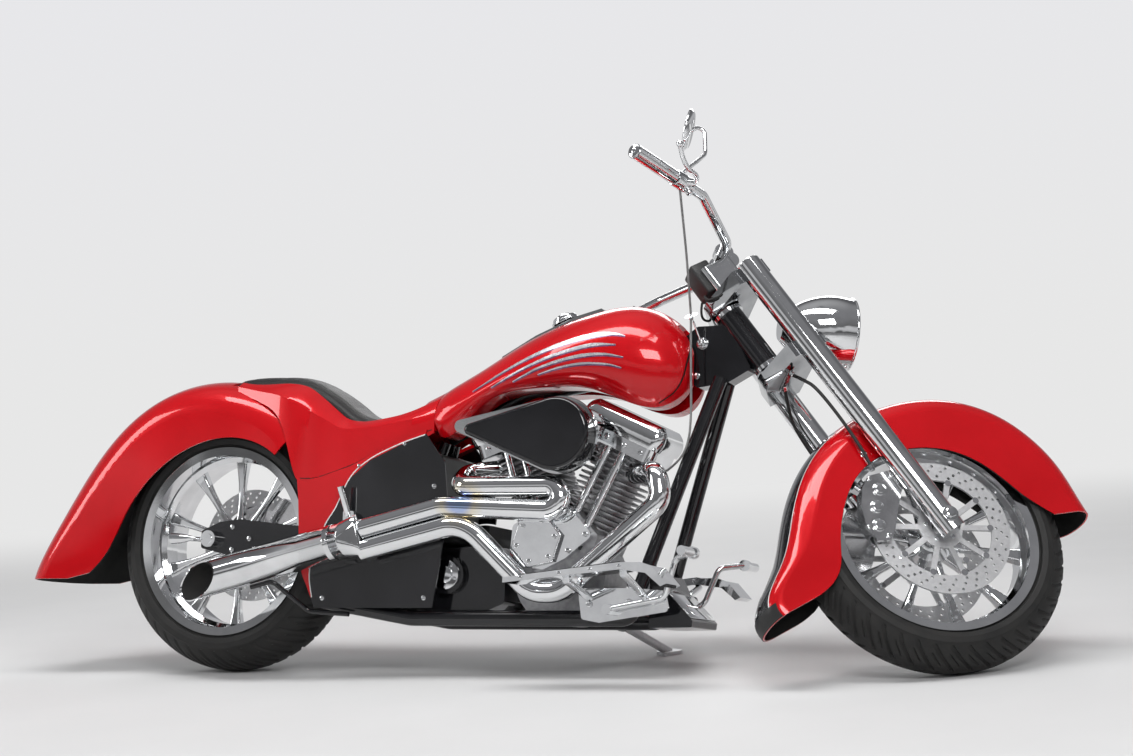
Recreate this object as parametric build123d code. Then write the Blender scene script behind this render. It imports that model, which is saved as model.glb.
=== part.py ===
# Chopper motorcycle with a V-twin engine, a raked fork and full fenders, leaning on its side stand.
# Millimetres. Everything is drawn upright in the machine's own frame: the origin is the middle of the
# rear axle, +X points forward, +Y to the rider's left and +Z up. The last section turns the steering
# against its left stop, leans the machine on its stand and puts the floor at Z = 0.
from build123d import *
import os
from math import asin, atan2, cos, degrees, pi, radians, sin, sqrt

os.makedirs("parts", exist_ok=True)

# Stance
wheelbase = 1811.0
rake = 37.2                    # steering axis from upright, degrees
fork_offset = 55.0             # front axle ahead of the steering axis, square to it
lean_angle = 10.7              # to the left, on the side stand, degrees
steering_lock = 40.0           # each way, degrees
seat_gap = 0.3                 # between pieces that are bolted together
running_gap = 6.0              # between a wheel or the fork and what stands still

# Wheels and tyres
rim_radius = 241.0             # to the edge of the lip, an 18 inch wheel
lip_height = 12.5              # lip edge above the bead seat
lip_thickness = 5.0
rear_tyre_radius = 328.4
rear_tyre_width = 190.0
rear_crown_radius = 104.0
rear_rim_width = 175.0
front_tyre_radius = 316.0
front_tyre_width = 130.0
front_crown_radius = 66.0
front_rim_width = 114.0
spoke_count = 10
front_disc_radius = 164.0
rear_disc_radius = 146.0
disc_thickness = 5.0
pulley_radius = 108.0

# Fork and steering
leg_radius = 29.5
fork_spacing = 236.0           # between the middles of the legs
leg_top = 769.0                # along the steering axis, from the axle line
leg_bottom = 32.0
top_tree_height = 750.0         # middle of the plate, along the axis, from the axle line
lower_tree_height = 526.0
tree_thickness = 38.0
stem_radius = 18.0
bar_radius = 12.7
grip_radius = 17.5

# Frame
tube_radius = 17.0
rail_radius = 19.0
rail_spread = 106.0            # half the distance between the lower rails
rail_height = -197.0           # middle of the lower rails under the engine
head_radius = 32.0
backbone_radius = 22.0

# Body
fender_wall = 4.0
rear_fender_half = 140.0
front_fender_half = 86.0

# Engine
crank_x = 935.0
crank_z = -93.0
engine_tilt = 3.0              # the whole engine leans forward, degrees
vee_angle = 45.0
deck_height = 273.0            # crank axis to the top of the barrel
barrel_base = 118.0
barrel_radius = 60.0
fin_count = 11
fin_thickness = 4.0
rocker_top = 424.0
header_radius = 25.5
muffler_radius = 44.5

# Worked out from the driving sizes
rake_rad = radians(rake)
axle_line = Vector(wheelbase, 0, front_tyre_radius - rear_tyre_radius)
stem_up = Vector(-sin(rake_rad), 0, cos(rake_rad))
fork_ahead = Vector(cos(rake_rad), 0, sin(rake_rad))
stem_foot = axle_line - fork_ahead * fork_offset
leg_y = fork_spacing / 2
disc_y = leg_y - leg_radius - running_gap - disc_thickness / 2
bead_radius = rim_radius - lip_height


def rod(start, end, radius):
    """A round bar from one point to another."""
    start = Vector(start)
    span = Vector(end) - start
    bar = Cylinder(radius, span.length, align=(Align.CENTER, Align.CENTER, Align.MIN))
    return Plane(start, z_dir=span) * bar


def bent_rod(points, radius, bends):
    """A round bar that follows straight runs joined by tangent arcs."""
    path = FilletPolyline(*points, radius=bends)
    return sweep(Plane(path @ 0, z_dir=path % 0) * Circle(radius), path)


def side_plate(outline, low_y, high_y, corner=0.0):
    """A plate that lies along the machine; its outline is in X and Z."""
    face = make_face(Polyline(*outline, close=True))
    if corner:
        face = fillet(face.vertices(), corner)
    return extrude(Plane.XZ.offset(-high_y) * face, high_y - low_y)


def turned(outline):
    """A solid turned about the Y axis; its outline gives radius and Y."""
    return revolve(make_face(Polyline(*outline, close=True)), Axis.Y)


def across(x, z, radius, low_y, high_y):
    """A round bar that lies across the machine."""
    return rod((x, low_y, z), (x, high_y, z), radius)


def mirrored(shape):
    return mirror(shape, Plane.XZ)


def pair(shape):
    """A piece and its like on the other side, as two solids."""
    return Compound(children=[shape, mirrored(shape)])


def on_fork(up, ahead, y):
    """A point on the fork: height along the steering axis, distance ahead of it, and Y."""
    return stem_foot + stem_up * up + fork_ahead * ahead + Vector(0, y, 0)


def solid_of(shape):
    return Compound(children=list(shape.solids()))


# Wheels

def tyre(radius, width, crown, rim_width):
    """A closed ring that fills the space between the rim's lips."""
    half = width / 2
    bead_y = rim_width / 2 - lip_thickness - 0.5
    shoulder_y = 0.92 * half
    shoulder_r = radius - crown + sqrt(crown ** 2 - shoulder_y ** 2)
    lip_r = rim_radius + 1.0
    seat_r = bead_radius + seat_gap
    side_r = (shoulder_r + lip_r) / 2
    tread = ThreePointArc((shoulder_r, -shoulder_y), (radius, 0), (shoulder_r, shoulder_y))
    left_wall = ThreePointArc((shoulder_r, shoulder_y), (side_r, half), (lip_r, bead_y))
    right_wall = ThreePointArc((lip_r, -bead_y), (side_r, -half), (shoulder_r, -shoulder_y))
    beads = Polyline((lip_r, bead_y), (seat_r, bead_y), (seat_r, -bead_y), (lip_r, -bead_y))
    return revolve(make_face(tread + left_wall + right_wall + beads), Axis.Y)


def wheel(rim_width, hub_half, hub_radius, first_spoke):
    """A cast wheel: a rim with deep lips, a hub and spokes that flare towards the rim."""
    lip_y = rim_width / 2
    barrel_r = bead_radius - 8
    drop_r = barrel_r - 8
    rim = turned([
        (rim_radius, lip_y), (rim_radius, lip_y - lip_thickness), (bead_radius, lip_y - lip_thickness),
        (bead_radius, 34), (bead_radius - 11, 26), (bead_radius - 11, -26), (bead_radius, -34),
        (bead_radius, lip_thickness - lip_y), (rim_radius, lip_thickness - lip_y), (rim_radius, -lip_y),
        (barrel_r, 3 - lip_y), (barrel_r, -34), (drop_r - 3, -24), (drop_r - 3, 24), (barrel_r, 34),
        (barrel_r, lip_y - 3),
    ])
    hub = turned([
        (0, -hub_half), (hub_radius * 0.62, -hub_half), (hub_radius * 0.62, -22), (hub_radius, -14),
        (hub_radius, 14), (hub_radius * 0.62, 22), (hub_radius * 0.62, hub_half), (0, hub_half),
    ])
    body = rim + hub
    for number in range(spoke_count):
        turn = first_spoke + number * 360 / spoke_count
        out = Vector(cos(radians(turn)), 0, sin(radians(turn)))
        root = Plane(out * (hub_radius - 8), x_dir=(0, 1, 0), z_dir=out)
        tip = Plane(out * (drop_r + 1), x_dir=(0, 1, 0), z_dir=out)
        waist = Plane(out * (0.5 * (drop_r + hub_radius)), x_dir=(0, 1, 0), z_dir=out)
        spoke = loft([
            root * RectangleRounded(26, 24, 6),
            waist * RectangleRounded(20, 17, 6),
            tip * RectangleRounded(30, 34, 6),
        ])
        body = body + spoke
    return body


def disc(outer, y, first_arm):
    """A brake disc: a flat ring on a ten armed carrier."""
    low = y - disc_thickness / 2
    high = y + disc_thickness / 2
    ring = across(0, 0, outer, low, high) - across(0, 0, outer - 44, low - 1, high + 1)
    carrier = across(0, 0, 52, low, high)
    for number in range(10):
        turn = radians(first_arm + number * 36)
        arm = Box(outer - 82, disc_thickness, 13)
        arm = Location(((outer + 2) / 2 * cos(turn), y, (outer + 2) / 2 * sin(turn)), (0, -degrees(turn), 0)) * arm
        carrier = carrier + arm
    return ring + carrier


rear_axle_radius = 12.5
rear_hub_half = 60.0
rear_tyre = tyre(rear_tyre_radius, rear_tyre_width, rear_crown_radius, rear_rim_width)
rear_rim = wheel(rear_rim_width, rear_hub_half, 56, 18) - across(0, 0, rear_axle_radius + 0.05, -120, 120)
front_tyre = tyre(front_tyre_radius, front_tyre_width, front_crown_radius, front_rim_width)
front_hub_half = disc_y - disc_thickness / 2 - seat_gap
front_axle_radius = 12.5
front_rim = wheel(front_rim_width, front_hub_half, 52, 0) - across(0, 0, front_axle_radius + 0.05, -120, 120)
disc_right = disc(front_disc_radius, -disc_y, 8)
disc_left = disc(front_disc_radius, disc_y, 8)
disc_bore = across(0, 0, front_axle_radius + 8, -200, 200)
front_discs = Compound(children=[disc_right - disc_bore, disc_left - disc_bore])

rear_disc_y = rear_hub_half + seat_gap + disc_thickness / 2
rear_disc_bore = across(0, 0, rear_axle_radius + 8, 0, 200)
rear_disc = disc(rear_disc_radius, rear_disc_y, 0) - rear_disc_bore
belt_width = 18.0
belt_low = rear_tyre_width / 2 + 5.5
belt_high = belt_low + belt_width
rear_pulley = across(0, 0, pulley_radius, belt_low - 1, belt_high + 1)
rear_pulley = rear_pulley - across(0, 0, pulley_radius - 12, belt_low + 6, belt_high + 2)
rear_pulley = rear_pulley + across(0, 0, 46, rear_disc_y + disc_thickness / 2 + seat_gap, belt_high - 2)
rear_pulley = rear_pulley - rear_disc_bore

# Swingarm and axles

arm_left_in = belt_high + 4
arm_out = arm_left_in + 10
arm_right_in = rear_tyre_width / 2 + 18
pivot_x = 470.0
pivot_z = -30.0
arm_outline = [
    (-34, -22), (-34, 22), (20, 44), (80, 50), (250, 30), (pivot_x, pivot_z + 34),
    (pivot_x + 30, pivot_z + 20), (pivot_x + 30, pivot_z - 20), (pivot_x, pivot_z - 34), (250, -38), (60, -44),
]
arm_right = side_plate(arm_outline, -arm_out, -arm_right_in, 8)
arm_left = side_plate(arm_outline, arm_left_in, arm_out, 8)
arm_bridge_x = rear_tyre_radius + 42
arm_bridge = across(arm_bridge_x, pivot_z + 4, 22, -arm_right_in, arm_left_in)
swingarm = arm_right + arm_left + arm_bridge
swingarm = swingarm - across(0, 0, rear_axle_radius + seat_gap, -200, 200)
swingarm = swingarm - across(pivot_x, pivot_z, 10 + seat_gap, -200, 200)
rear_axle = across(0, 0, rear_axle_radius, -arm_out - 26, arm_out + 20)
rear_axle = rear_axle + across(0, 0, 21, -arm_out - 24, -arm_out - seat_gap)
rear_axle = rear_axle + across(0, 0, 21, arm_out + seat_gap, arm_out + 18)

# Frame

neck_low = 561.0
neck_high = 716.0
head_low = on_fork(neck_low, 0, 0)
head_high = on_fork(neck_high, 0, 0)
head_tube = rod(head_low, head_high, head_radius)
gusset_outline = [
    (1222, 470), (1262, 500), (1330, 500), (1372, 440), (1396, 392), (1340, 362), (1262, 352), (1228, 380),
]
gusset = side_plate(gusset_outline, -26, 26, 10)
frame_neck = gusset + head_tube - rod(on_fork(0, 0, 0), on_fork(900, 0, 0), stem_radius + seat_gap)
backbone_front = Vector(1240, 0, 420)
backbone_bend = Vector(800, 0, 354)
backbone_rear = Vector(600, 0, 256)
backbone_line = [backbone_front, backbone_bend, backbone_rear]
backbone = bent_rod(backbone_line, backbone_radius, [120]) - gusset

foot_x = 1150.0
down_top_y = 30.0
down_top = (1322, -down_top_y, 372)
down_foot = (foot_x, -rail_spread, rail_height + 60)
rail_points = [
    down_foot, (foot_x - 16, -rail_spread, rail_height), (560, -rail_spread, rail_height),
    (300, -rail_spread, rail_height + 44),
]
lower_rail = bent_rod(rail_points, rail_radius, [34, 120])
downtube = rod(down_top, down_foot, tube_radius) - frame_neck - lower_rail
post_bottom = (pivot_x + 10, -rail_spread + 18, rail_height + 10)
post_top = (600, -26, 240)
post_radius = 14.0
seat_post = rod(post_bottom, post_top, post_radius) - lower_rail - backbone
post_rooms = pair(rod(post_bottom, post_top, post_radius + seat_gap))
pivot_plate = side_plate([
    (pivot_x - 40, rail_height + 8), (pivot_x + 60, rail_height + 8), (pivot_x + 38, 20), (pivot_x - 30, 20),
], -rail_spread + 7, -rail_spread + 17, 6)
pivot_pin = across(pivot_x, pivot_z, 10, -arm_out - 2, arm_out + 2)
pivot_plate = pivot_plate - across(pivot_x, pivot_z, 10 + seat_gap, -200, 200) - seat_post
lower_rail = lower_rail + pivot_plate
cup_wall = 10.0
cup_low = rod(on_fork(neck_low - cup_wall, 0, 0), head_low, head_radius + 5)
cup_high = rod(head_high, on_fork(neck_high + cup_wall, 0, 0), head_radius + 5)
stem_bore = rod(on_fork(300, 0, 0), on_fork(900, 0, 0), stem_radius + seat_gap)
neck_cups = Compound(children=[cup_low - stem_bore, cup_high - stem_bore])

# Chin guard in front of the lower rails
chin_outline = [
    (foot_x + 22, -98), (foot_x + 42, -92), (foot_x + 62, -134), (foot_x + 128, -200), (foot_x + 126, -216),
    (foot_x + 20, -218), (foot_x + 22, -180),
]
chin_guard = side_plate(chin_outline, -88, 88, 4) - pair(rod(down_top, down_foot, tube_radius + seat_gap))

# Fenders and body


def arch_face(turn, half, crown, edge):
    """One cross section of a fender in the plane that leaves the axle at an angle."""
    out = Vector(cos(radians(turn)), 0, sin(radians(turn)))
    plane = Plane((0, 0, 0), x_dir=(0, 1, 0), z_dir=Vector(0, 1, 0).cross(out))
    top_half = 0.68 * half
    top_drop = 0.17 * half
    top_radius = (top_half ** 2 + top_drop ** 2) / (2 * top_drop)
    slope = asin(top_half / top_radius)
    corner = (half - top_half) / (1 - sin(slope))
    top_edge = crown - top_drop
    shoulder = top_edge - corner * cos(slope)
    middle = (pi / 2 - slope) / 2
    bend_y = half - corner + corner * cos(middle)
    bend_z = shoulder + corner * sin(middle)
    outline = Wire([
        Line((-half, edge), (-half, shoulder)),
        ThreePointArc((-half, shoulder), (-bend_y, bend_z), (-top_half, top_edge)),
        ThreePointArc((-top_half, top_edge), (0, crown), (top_half, top_edge)),
        ThreePointArc((top_half, top_edge), (bend_y, bend_z), (half, shoulder)),
        Line((half, shoulder), (half, edge)),
        Line((half, edge), (-half, edge)),
    ])
    return plane * Face(outline)


def arch(table, wall, depth):
    """The solid inside a fender's outer skin, shrunk by a wall; depth lowers its open edge."""
    return loft([arch_face(turn, half - wall, crown - wall, edge - depth) for turn, half, crown, edge in table])


# Columns: angle round the axle from straight ahead, half width, crown radius, side edge radius
tail_half = rear_fender_half - 22
rear_arch = [
    (192, tail_half, 620, 392), (177, tail_half + 10, 540, 300), (158, rear_fender_half - 4, 478, 268),
    (135, rear_fender_half, 453, 250), (112, rear_fender_half, 439, 248), (88, rear_fender_half, 418, 258),
    (66, rear_fender_half, 404, 270), (50, rear_fender_half, 388, 274),
]
rear_fender = arch(rear_arch, 0, 0) - arch(rear_arch, fender_wall, 120)
tail_cut = Location((-700, 0, -196)) * Box(700, 400, 200)
rear_fender = rear_fender - tail_cut

# Body between the fender and the tank; columns: x, half width, top at the middle, sagitta of the top, bottom
seam_x = 606.0
seat_base_rows = [
    (232, rear_fender_half - 2, 388, 62, 150), (300, rear_fender_half - 6, 330, 50, 150),
    (390, 128, 292, 42, 175), (500, 116, 306, 44, 222), (seam_x, 104, 356, 66, 262),
]


def deck_face(x, half, top, crest, bottom):
    """Cross section of the body: an arched top on straight sides."""
    outline = Wire([
        Line((-half, bottom), (-half, top - crest)),
        ThreePointArc((-half, top - crest), (0, top), (half, top - crest)),
        Line((half, top - crest), (half, bottom)),
        Line((half, bottom), (-half, bottom)),
    ])
    return Plane((x, 0, 0), x_dir=(0, 1, 0), z_dir=(1, 0, 0)) * Face(outline)


seat_line = [
    (4, 424), (66, 427), (128, 419), (189, 398), (250, 365), (310, 333), (356, 312), (430, 300), (510, 308),
    (575, 332), (566, 306), (500, 282), (430, 272), (340, 286), (300, 306), (240, 338), (182, 372), (126, 392),
    (66, 402), (4, 402),
]
seat_half = 88.0
seat = side_plate(seat_line, -seat_half, seat_half)
seat_room = side_plate(seat_line, -seat_half - seat_gap, seat_half + seat_gap)
wheel_room = across(0, 0, rear_tyre_radius + 26, -arm_out - 2, arm_out + 2)
seat_base = loft([deck_face(*row) for row in seat_base_rows])
backbone_room = bent_rod(backbone_line, backbone_radius + seat_gap, [120])
seat_base = seat_base - wheel_room - arch(rear_arch, 0, 0) - seat_room - backbone_room - post_rooms
rear_fender = rear_fender - seat_room

seat_base = seat_base.solids().sort_by(SortBy.VOLUME)[-1]

# Side skirts and side panels: the joint between them is the line that the white pinstripe follows
side_out = rear_fender_half
side_in = side_out - 5
side_joint = [(602, 250), (532, 224), (450, 189), (395, 145), (356, 72), (324, 23), (288, -77), (297, -150)]
skirt_edge = [(268, -89), (256, -1), (250, 97), (244, 149), (300, 149), (390, 174), (500, 221), (604, 260)]
panel_edge = [(306, -174), (632, -174), (650, -60), (668, 60), (655, 180)]
skirt = side_plate(side_joint + skirt_edge, -side_out, -side_in) - seat_base
panel = side_plate(side_joint + panel_edge, -side_out, -side_in)
oil_tank = side_plate([
    (376, 60), (386, 140), (450, 186), (560, 222), (630, 200), (640, 20), (620, -12), (530, -12), (510, 30), (400, 34),
], 6 - belt_low, belt_low - 6, 12) - post_rooms

# Fuel tank; columns: x, half width, height of the widest line, top, half width of the floor, floor
tank_rows = [
    (seam_x + seat_gap, 104, 300, 372, 92, 268), (720, 122, 350, 431, 100, 308), (840, 140, 400, 494, 104, 352),
    (960, 152, 425, 538, 105, 356), (1080, 152, 420, 560, 100, 328), (1170, 136, 410, 540, 90, 300),
    (1228, 104, 405, 493, 70, 320), (1256, 58, 398, 444, 40, 356),
]


def tank_face(x, half, middle, top, floor_half, floor):
    """Cross section of the tank: an arched top, rounded flanks and a flat floor."""
    crest = top - middle
    radius = (half ** 2 + crest ** 2) / (2 * crest)
    slope = asin(min(half / radius, 1.0))
    flank = TangentArc((half, middle), (floor_half, floor), tangent=(cos(slope), -sin(slope)))
    bulge = flank @ 0.5
    outline = Wire([
        ThreePointArc((-half, middle), (0, top), (half, middle)),
        ThreePointArc((half, middle), (bulge.X, bulge.Y), (floor_half, floor)),
        Line((floor_half, floor), (-floor_half, floor)),
        ThreePointArc((-floor_half, floor), (-bulge.X, bulge.Y), (-half, middle)),
    ])
    return Plane((x, 0, 0), x_dir=(0, 1, 0), z_dir=(1, 0, 0)) * Face(outline)


tank_body = loft([tank_face(*row) for row in tank_rows])
tunnel_half = backbone_radius + 12
tunnel = side_plate([
    (590, 200), (590, backbone_rear.Z + tunnel_half), (backbone_bend.X, backbone_bend.Z + tunnel_half + 4),
    (1200, 416 + tunnel_half), (1216, 520), (1300, 520), (1300, 200),
], -tunnel_half, tunnel_half)
fuel_tank = tank_body - tunnel

# Engine
crank = Vector(crank_x, 0, crank_z)
front_tilt = vee_angle / 2 + engine_tilt
rear_tilt = engine_tilt - vee_angle / 2


def barrel_plane(tilt):
    """Frame of one cylinder: Z along its bore from the crankshaft, X forward, Y to the left."""
    up = Vector(sin(radians(tilt)), 0, cos(radians(tilt)))
    return Plane(crank, x_dir=up.cross(Vector(0, -1, 0)) * 1.0, z_dir=up)


fin_pitch = (deck_height - barrel_base - 8) / fin_count
head_fins = 4


def finned_barrel():
    barrel = Pos(0, 0, barrel_base) * Cylinder(barrel_radius, deck_height - barrel_base,
                                               align=(Align.CENTER, Align.CENTER, Align.MIN))
    for number in range(fin_count):
        height = barrel_base + 8 + number * fin_pitch
        fin = extrude(Pos(0, 0, height) * RectangleRounded(150, 152, 44), fin_thickness)
        barrel = barrel + fin
    return barrel


def cylinder_head():
    """The finned head under the rocker box; the box's lid has a sloping crown."""
    low = deck_height + seat_gap
    head = extrude(Pos(0, 0, low) * RectangleRounded(128, 124, 30), 330 - low)
    for number in range(head_fins):
        height = low + 4 + number * 13
        head = head + extrude(Pos(0, 0, height) * RectangleRounded(164, 160, 34), fin_thickness)
    return head


def rocker_box():
    low = 330 + seat_gap
    base = extrude(Pos(0, -24, low) * RectangleRounded(206, 150, 22), 34)
    lid = loft([
        Pos(0, -24, low + 34) * RectangleRounded(216, 158, 24),
        Pos(0, -24, rocker_top - 14) * RectangleRounded(212, 154, 24),
        Pos(0, -24, rocker_top) * RectangleRounded(184, 126, 18),
    ])
    return base + lid


front_frame = barrel_plane(front_tilt)
rear_frame = barrel_plane(rear_tilt)
vee_frame = barrel_plane(engine_tilt)
front_side = vee_frame * Pos(251, 0, 300) * Box(500, 500, 700)
rear_side = vee_frame * Pos(-251, 0, 300) * Box(500, 500, 700)


def both_cylinders(shape):
    """The front and the rear one of a piece, each trimmed at the middle of the vee."""
    return Compound(children=[front_frame * shape & front_side, rear_frame * mirror(shape, Plane.YZ) & rear_side])


cylinders = both_cylinders(finned_barrel())
heads = both_cylinders(cylinder_head())
rocker_boxes = both_cylinders(rocker_box())

# Crankcase, cam chest and pushrods
case_half = 72.0
cam_in = -118.0
cam_out = -138.0
pad = Pos(0, 0, 60) * Box(142, 2 * case_half, 2 * (barrel_base - 60 - seat_gap))
crankcase = across(crank_x, crank_z, 118, -case_half, case_half)
crankcase = crankcase + (front_frame * pad & front_side) + (rear_frame * pad & rear_side)
cam_chest_line = [
    (832, -48), (838, 24), (905, 64), (985, 68), (1052, -4), (1020, -90), (960, -150), (880, -150), (840, -110),
]
cam_chest = side_plate(cam_chest_line, cam_in + seat_gap, -case_half + 2, 12)
crankcase = crankcase + cam_chest
primary_in = arm_left_in + 4
crankcase = crankcase + across(crank_x, crank_z, 70, case_half - 2, primary_in - seat_gap)
for x in (crank_x - 45, crank_x + 45):
    crankcase = crankcase + across(x, rail_height + 2, 11, -rail_spread, rail_spread)
crankcase = crankcase - cylinders - pair(lower_rail)

cam_plate = side_plate([
    (834, -44), (840, 22), (906, 60), (984, 64), (1046, -4), (976, -58), (920, -84), (852, -72),
], cam_out, cam_in, 12)
hexagon = Plane((906, cam_out, -17), x_dir=(1, 0, 0), z_dir=(0, -1, 0)) * RegularPolygon(66, 6, rotation=12)
cam_cover = cam_plate + fillet(extrude(hexagon, 13).edges().group_by(Axis.Y)[0], 3)

pushrod_x = (-12, 28)
pushrod_radius = 9.5
tube_low = 112.0
lifter = Pos(8, -(case_half + 26), 96) * Box(74, 50, 30)
pushrods = lifter
for x in pushrod_x:
    pushrods = pushrods + rod((x, -114, tube_low - 2), (x, -93, 330), pushrod_radius)
    pushrods = pushrods + rod((x, -114, tube_low - 2), (x, -112, tube_low + 24), pushrod_radius + 4)
pushrod_tubes = Compound(children=[
    (front_frame * pushrods) - crankcase - cam_cover - rocker_boxes,
    (rear_frame * mirror(pushrods, Plane.YZ)) - crankcase - cam_cover - rocker_boxes,
])

# Intake and air cleaner
intake_x = 956.0
intake_z = 213.0
intake = across(intake_x, intake_z, 28, -150, 10)
intake = intake + rod((900, 0, intake_z - 2), (1005, 0, intake_z + 2), 21)
intake = intake - heads - cylinders


def teardrop(nose_x, nose_z, nose_radius, tail_x, tail_z, tail_radius, low_y, high_y):
    """A plate with a round nose and a small round tail joined by straight sides."""
    nose = Pos(nose_x, nose_z) * Circle(nose_radius)
    tail = Pos(tail_x, tail_z) * Circle(tail_radius)
    outline = make_hull(nose.edges() + tail.edges())
    return extrude(Plane.XZ.offset(-high_y) * outline, high_y - low_y)


cleaner_back = teardrop(968, 232, 93, 706, 262, 15, -164, -150)
air_cleaner = teardrop(972, 230, 87, 752, 247, 14, -215, -164 - seat_gap)
air_cleaner = fillet(air_cleaner.edges().group_by(Axis.Y)[0], 11)

# Gearbox, primary drive and belt
clutch_x = 640.0
clutch_z = -60.0
primary_out = 200.0
primary = teardrop(clutch_x, clutch_z, 108, crank_x, crank_z, 80, primary_in, primary_out)
primary = fillet(primary.edges().group_by(Axis.Y)[-1], 22)
gearbox = side_plate([
    (535, -150), (535, -30), (770, -22), (800, -60), (800, -160), (760, -176), (560, -176),
], -88, 88, 14)
gearbox = gearbox + across(650, -92, 46, -104, -80) - crankcase
gearbox = gearbox - post_rooms + across(clutch_x, clutch_z, 24, 80, belt_low - 1)
drive_radius = 44.0
front_pulley = across(clutch_x, clutch_z, drive_radius, belt_low - 1, belt_high + 1)


def belt_loop(extra):
    """The outline of the belt round both pulleys, thicker by the given amount."""
    big = Circle(pulley_radius + extra)
    small = Pos(clutch_x, clutch_z) * Circle(drive_radius + extra)
    return extrude(Plane.XZ.offset(-belt_high) * make_hull(big.edges() + small.edges()), belt_width)


belt_gap = 0.5
belt_thickness = 4.5
drive_belt = belt_loop(belt_gap + belt_thickness) - belt_loop(belt_gap)

# Exhaust
muffler_y = -190.0
front_port = [
    (1122, -62, 148), (1205, -140, 140), (1222, -152, 72), (972, -152, -138), (898, -156, -138), (731, -184, 26),
    (462, muffler_y, -38),
]
header_front = bent_rod(front_port, header_radius, [38, 45, 82, 82, 95]) - heads - cylinders - rocker_boxes
rear_port = [
    (775, -50, 166), (704, -108, 150), (706, -168, 114), (976, -171, 110), (980, -179, 50), (672, -180, 66),
    (462, muffler_y, 14),
]
header_rear = bent_rod(rear_port, header_radius, [30, 34, 34, 34, 95]) - heads - cylinders - rocker_boxes
muffler_slope = 0.236
mouth_x = 412.0
mouth = Vector(mouth_x, muffler_y, -12)
muffler_back = Vector(-1, 0, -muffler_slope).normalized()


def exhaust_plane(x):
    """The plane square to the silencer's axis at a distance along the machine."""
    return Plane(mouth + Vector(-1, 0, -muffler_slope) * (mouth_x - x), x_dir=(0, 1, 0), z_dir=muffler_back)


def muffler_shell(shrink):
    radius = muffler_radius - shrink
    barrel = rod(mouth, mouth + muffler_back * 500, radius)
    funnel = loft([
        exhaust_plane(462) * RectangleRounded(56 - 2 * shrink, 108 - 2 * shrink, 26 - shrink),
        exhaust_plane(mouth_x) * RectangleRounded(2 * radius, 2 * radius, radius - 0.1),
    ])
    return barrel + funnel


muffler = muffler_shell(0) - rod(mouth, mouth + muffler_back * 600, muffler_radius - 3)
slash = Location((-4, muffler_y, -108), (0, 0, -51)) * Pos(-200, 0, 0) * Box(400, 400, 300)
muffler = muffler - slash
header_front = (header_front - muffler).solids().sort_by(SortBy.VOLUME)[-1]
header_rear = (header_rear - muffler).solids().sort_by(SortBy.VOLUME)[-1]

# Foot boards, controls and pegs
board_out = -330.0
board_in = -238.0
plate_in = -(rail_spread + rail_radius + seat_gap)
board_line = [
    (905, -126), (905, -114), (1045, -98), (1190, -82), (1240, -82), (1266, -90), (1302, -130), (1288, -136),
    (1252, -106), (1190, -98), (1045, -112),
]
board = side_plate(board_line, board_out, board_in)
plate_out = plate_in - 10
control_plate = side_plate([
    (1010, -128), (1150, -128), (1226, -134), (1236, -182), (1065, -208), (1020, -200),
], plate_out, plate_in, 8)
board_arms = (rod((1040, plate_out, -150), (1040, board_in - 40, -118), 9)
              + rod((1180, plate_out, -150), (1180, board_in - 40, -104), 9))
footboard = board + control_plate + board_arms
board_shift = -16.0            # the left board sits a little further back than the right one
stand_room = Pos(960, 150, rail_height + 27 - 100) * Box(184, 120, 200)
primary_room = across(crank_x, crank_z, 84, primary_in - 10, primary_out)
left_board = mirrored(footboard).translate((board_shift, 0, 0)) - stand_room - primary_room - crankcase
footboards = Compound(children=[footboard, left_board])

pedal_pivot = (1096, -178)
pedal = across(pedal_pivot[0], pedal_pivot[1], 12, plate_out - 34, plate_out - seat_gap)
pedal_arm = bent_rod([
    (1096, plate_out - 24, -178), (1235, plate_out - 24, -152), (1268, plate_out - 40, -62),
    (1322, plate_out - 78, -54),
], 7, [24, 24])
peg_radius = 11.0
peg_length = 70.0
peg_start = plate_out - 86
pedal_peg = rod((1322, peg_start - peg_length, -54), (1322, peg_start, -54), peg_radius)
pedal_boss = rod((1322, peg_start, -54), (1322, peg_start + 16, -54), peg_radius + 3)
pedal = pedal + pedal_arm + pedal_peg + pedal_boss
foot_pedals = Compound(children=[pedal, mirrored(pedal).translate((board_shift, 0, 0))])

peg_base = side_plate([(388, 36), (418, 36), (418, 62), (388, 64)], -side_out - 16, -side_out - seat_gap, 4)
peg_post = rod((402, -side_out - 10, 50), (388, -side_out - 34, 122), 9)
passenger_pegs = pair(peg_base + peg_post)

hanger_y = -(rail_spread + rail_radius + 6 + seat_gap)
hanger_x = 215.0
muffler_under = mouth.Z - muffler_slope * (mouth_x - hanger_x) - muffler_radius * sqrt(1 + muffler_slope ** 2)
hanger = bent_rod([
    (400, hanger_y, rail_height + 8), (290, hanger_y - 4, -182), (hanger_x, muffler_y, muffler_under - 7),
    (hanger_x - 60, muffler_y, muffler_under - 7 - 60 * muffler_slope),
], 6, [24, 20]) - muffler

# Rear brake caliper on the left arm, rear lamps by the axle
pad_gap = 5.0
caliper_line = [(52, 70), (96, 122), (150, 92), (168, 30), (112, 14)]
rear_caliper = side_plate(caliper_line, rear_disc_y - 20, rear_disc_y + 24, 12)
rear_caliper = rear_caliper - across(0, 0, rear_disc_radius + 5, rear_disc_y - disc_thickness / 2 - pad_gap,
                                     rear_disc_y + disc_thickness / 2 + pad_gap)
rear_caliper = rear_caliper + across(140, 28, 12, rear_disc_y + 20, arm_left_in - seat_gap)

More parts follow.
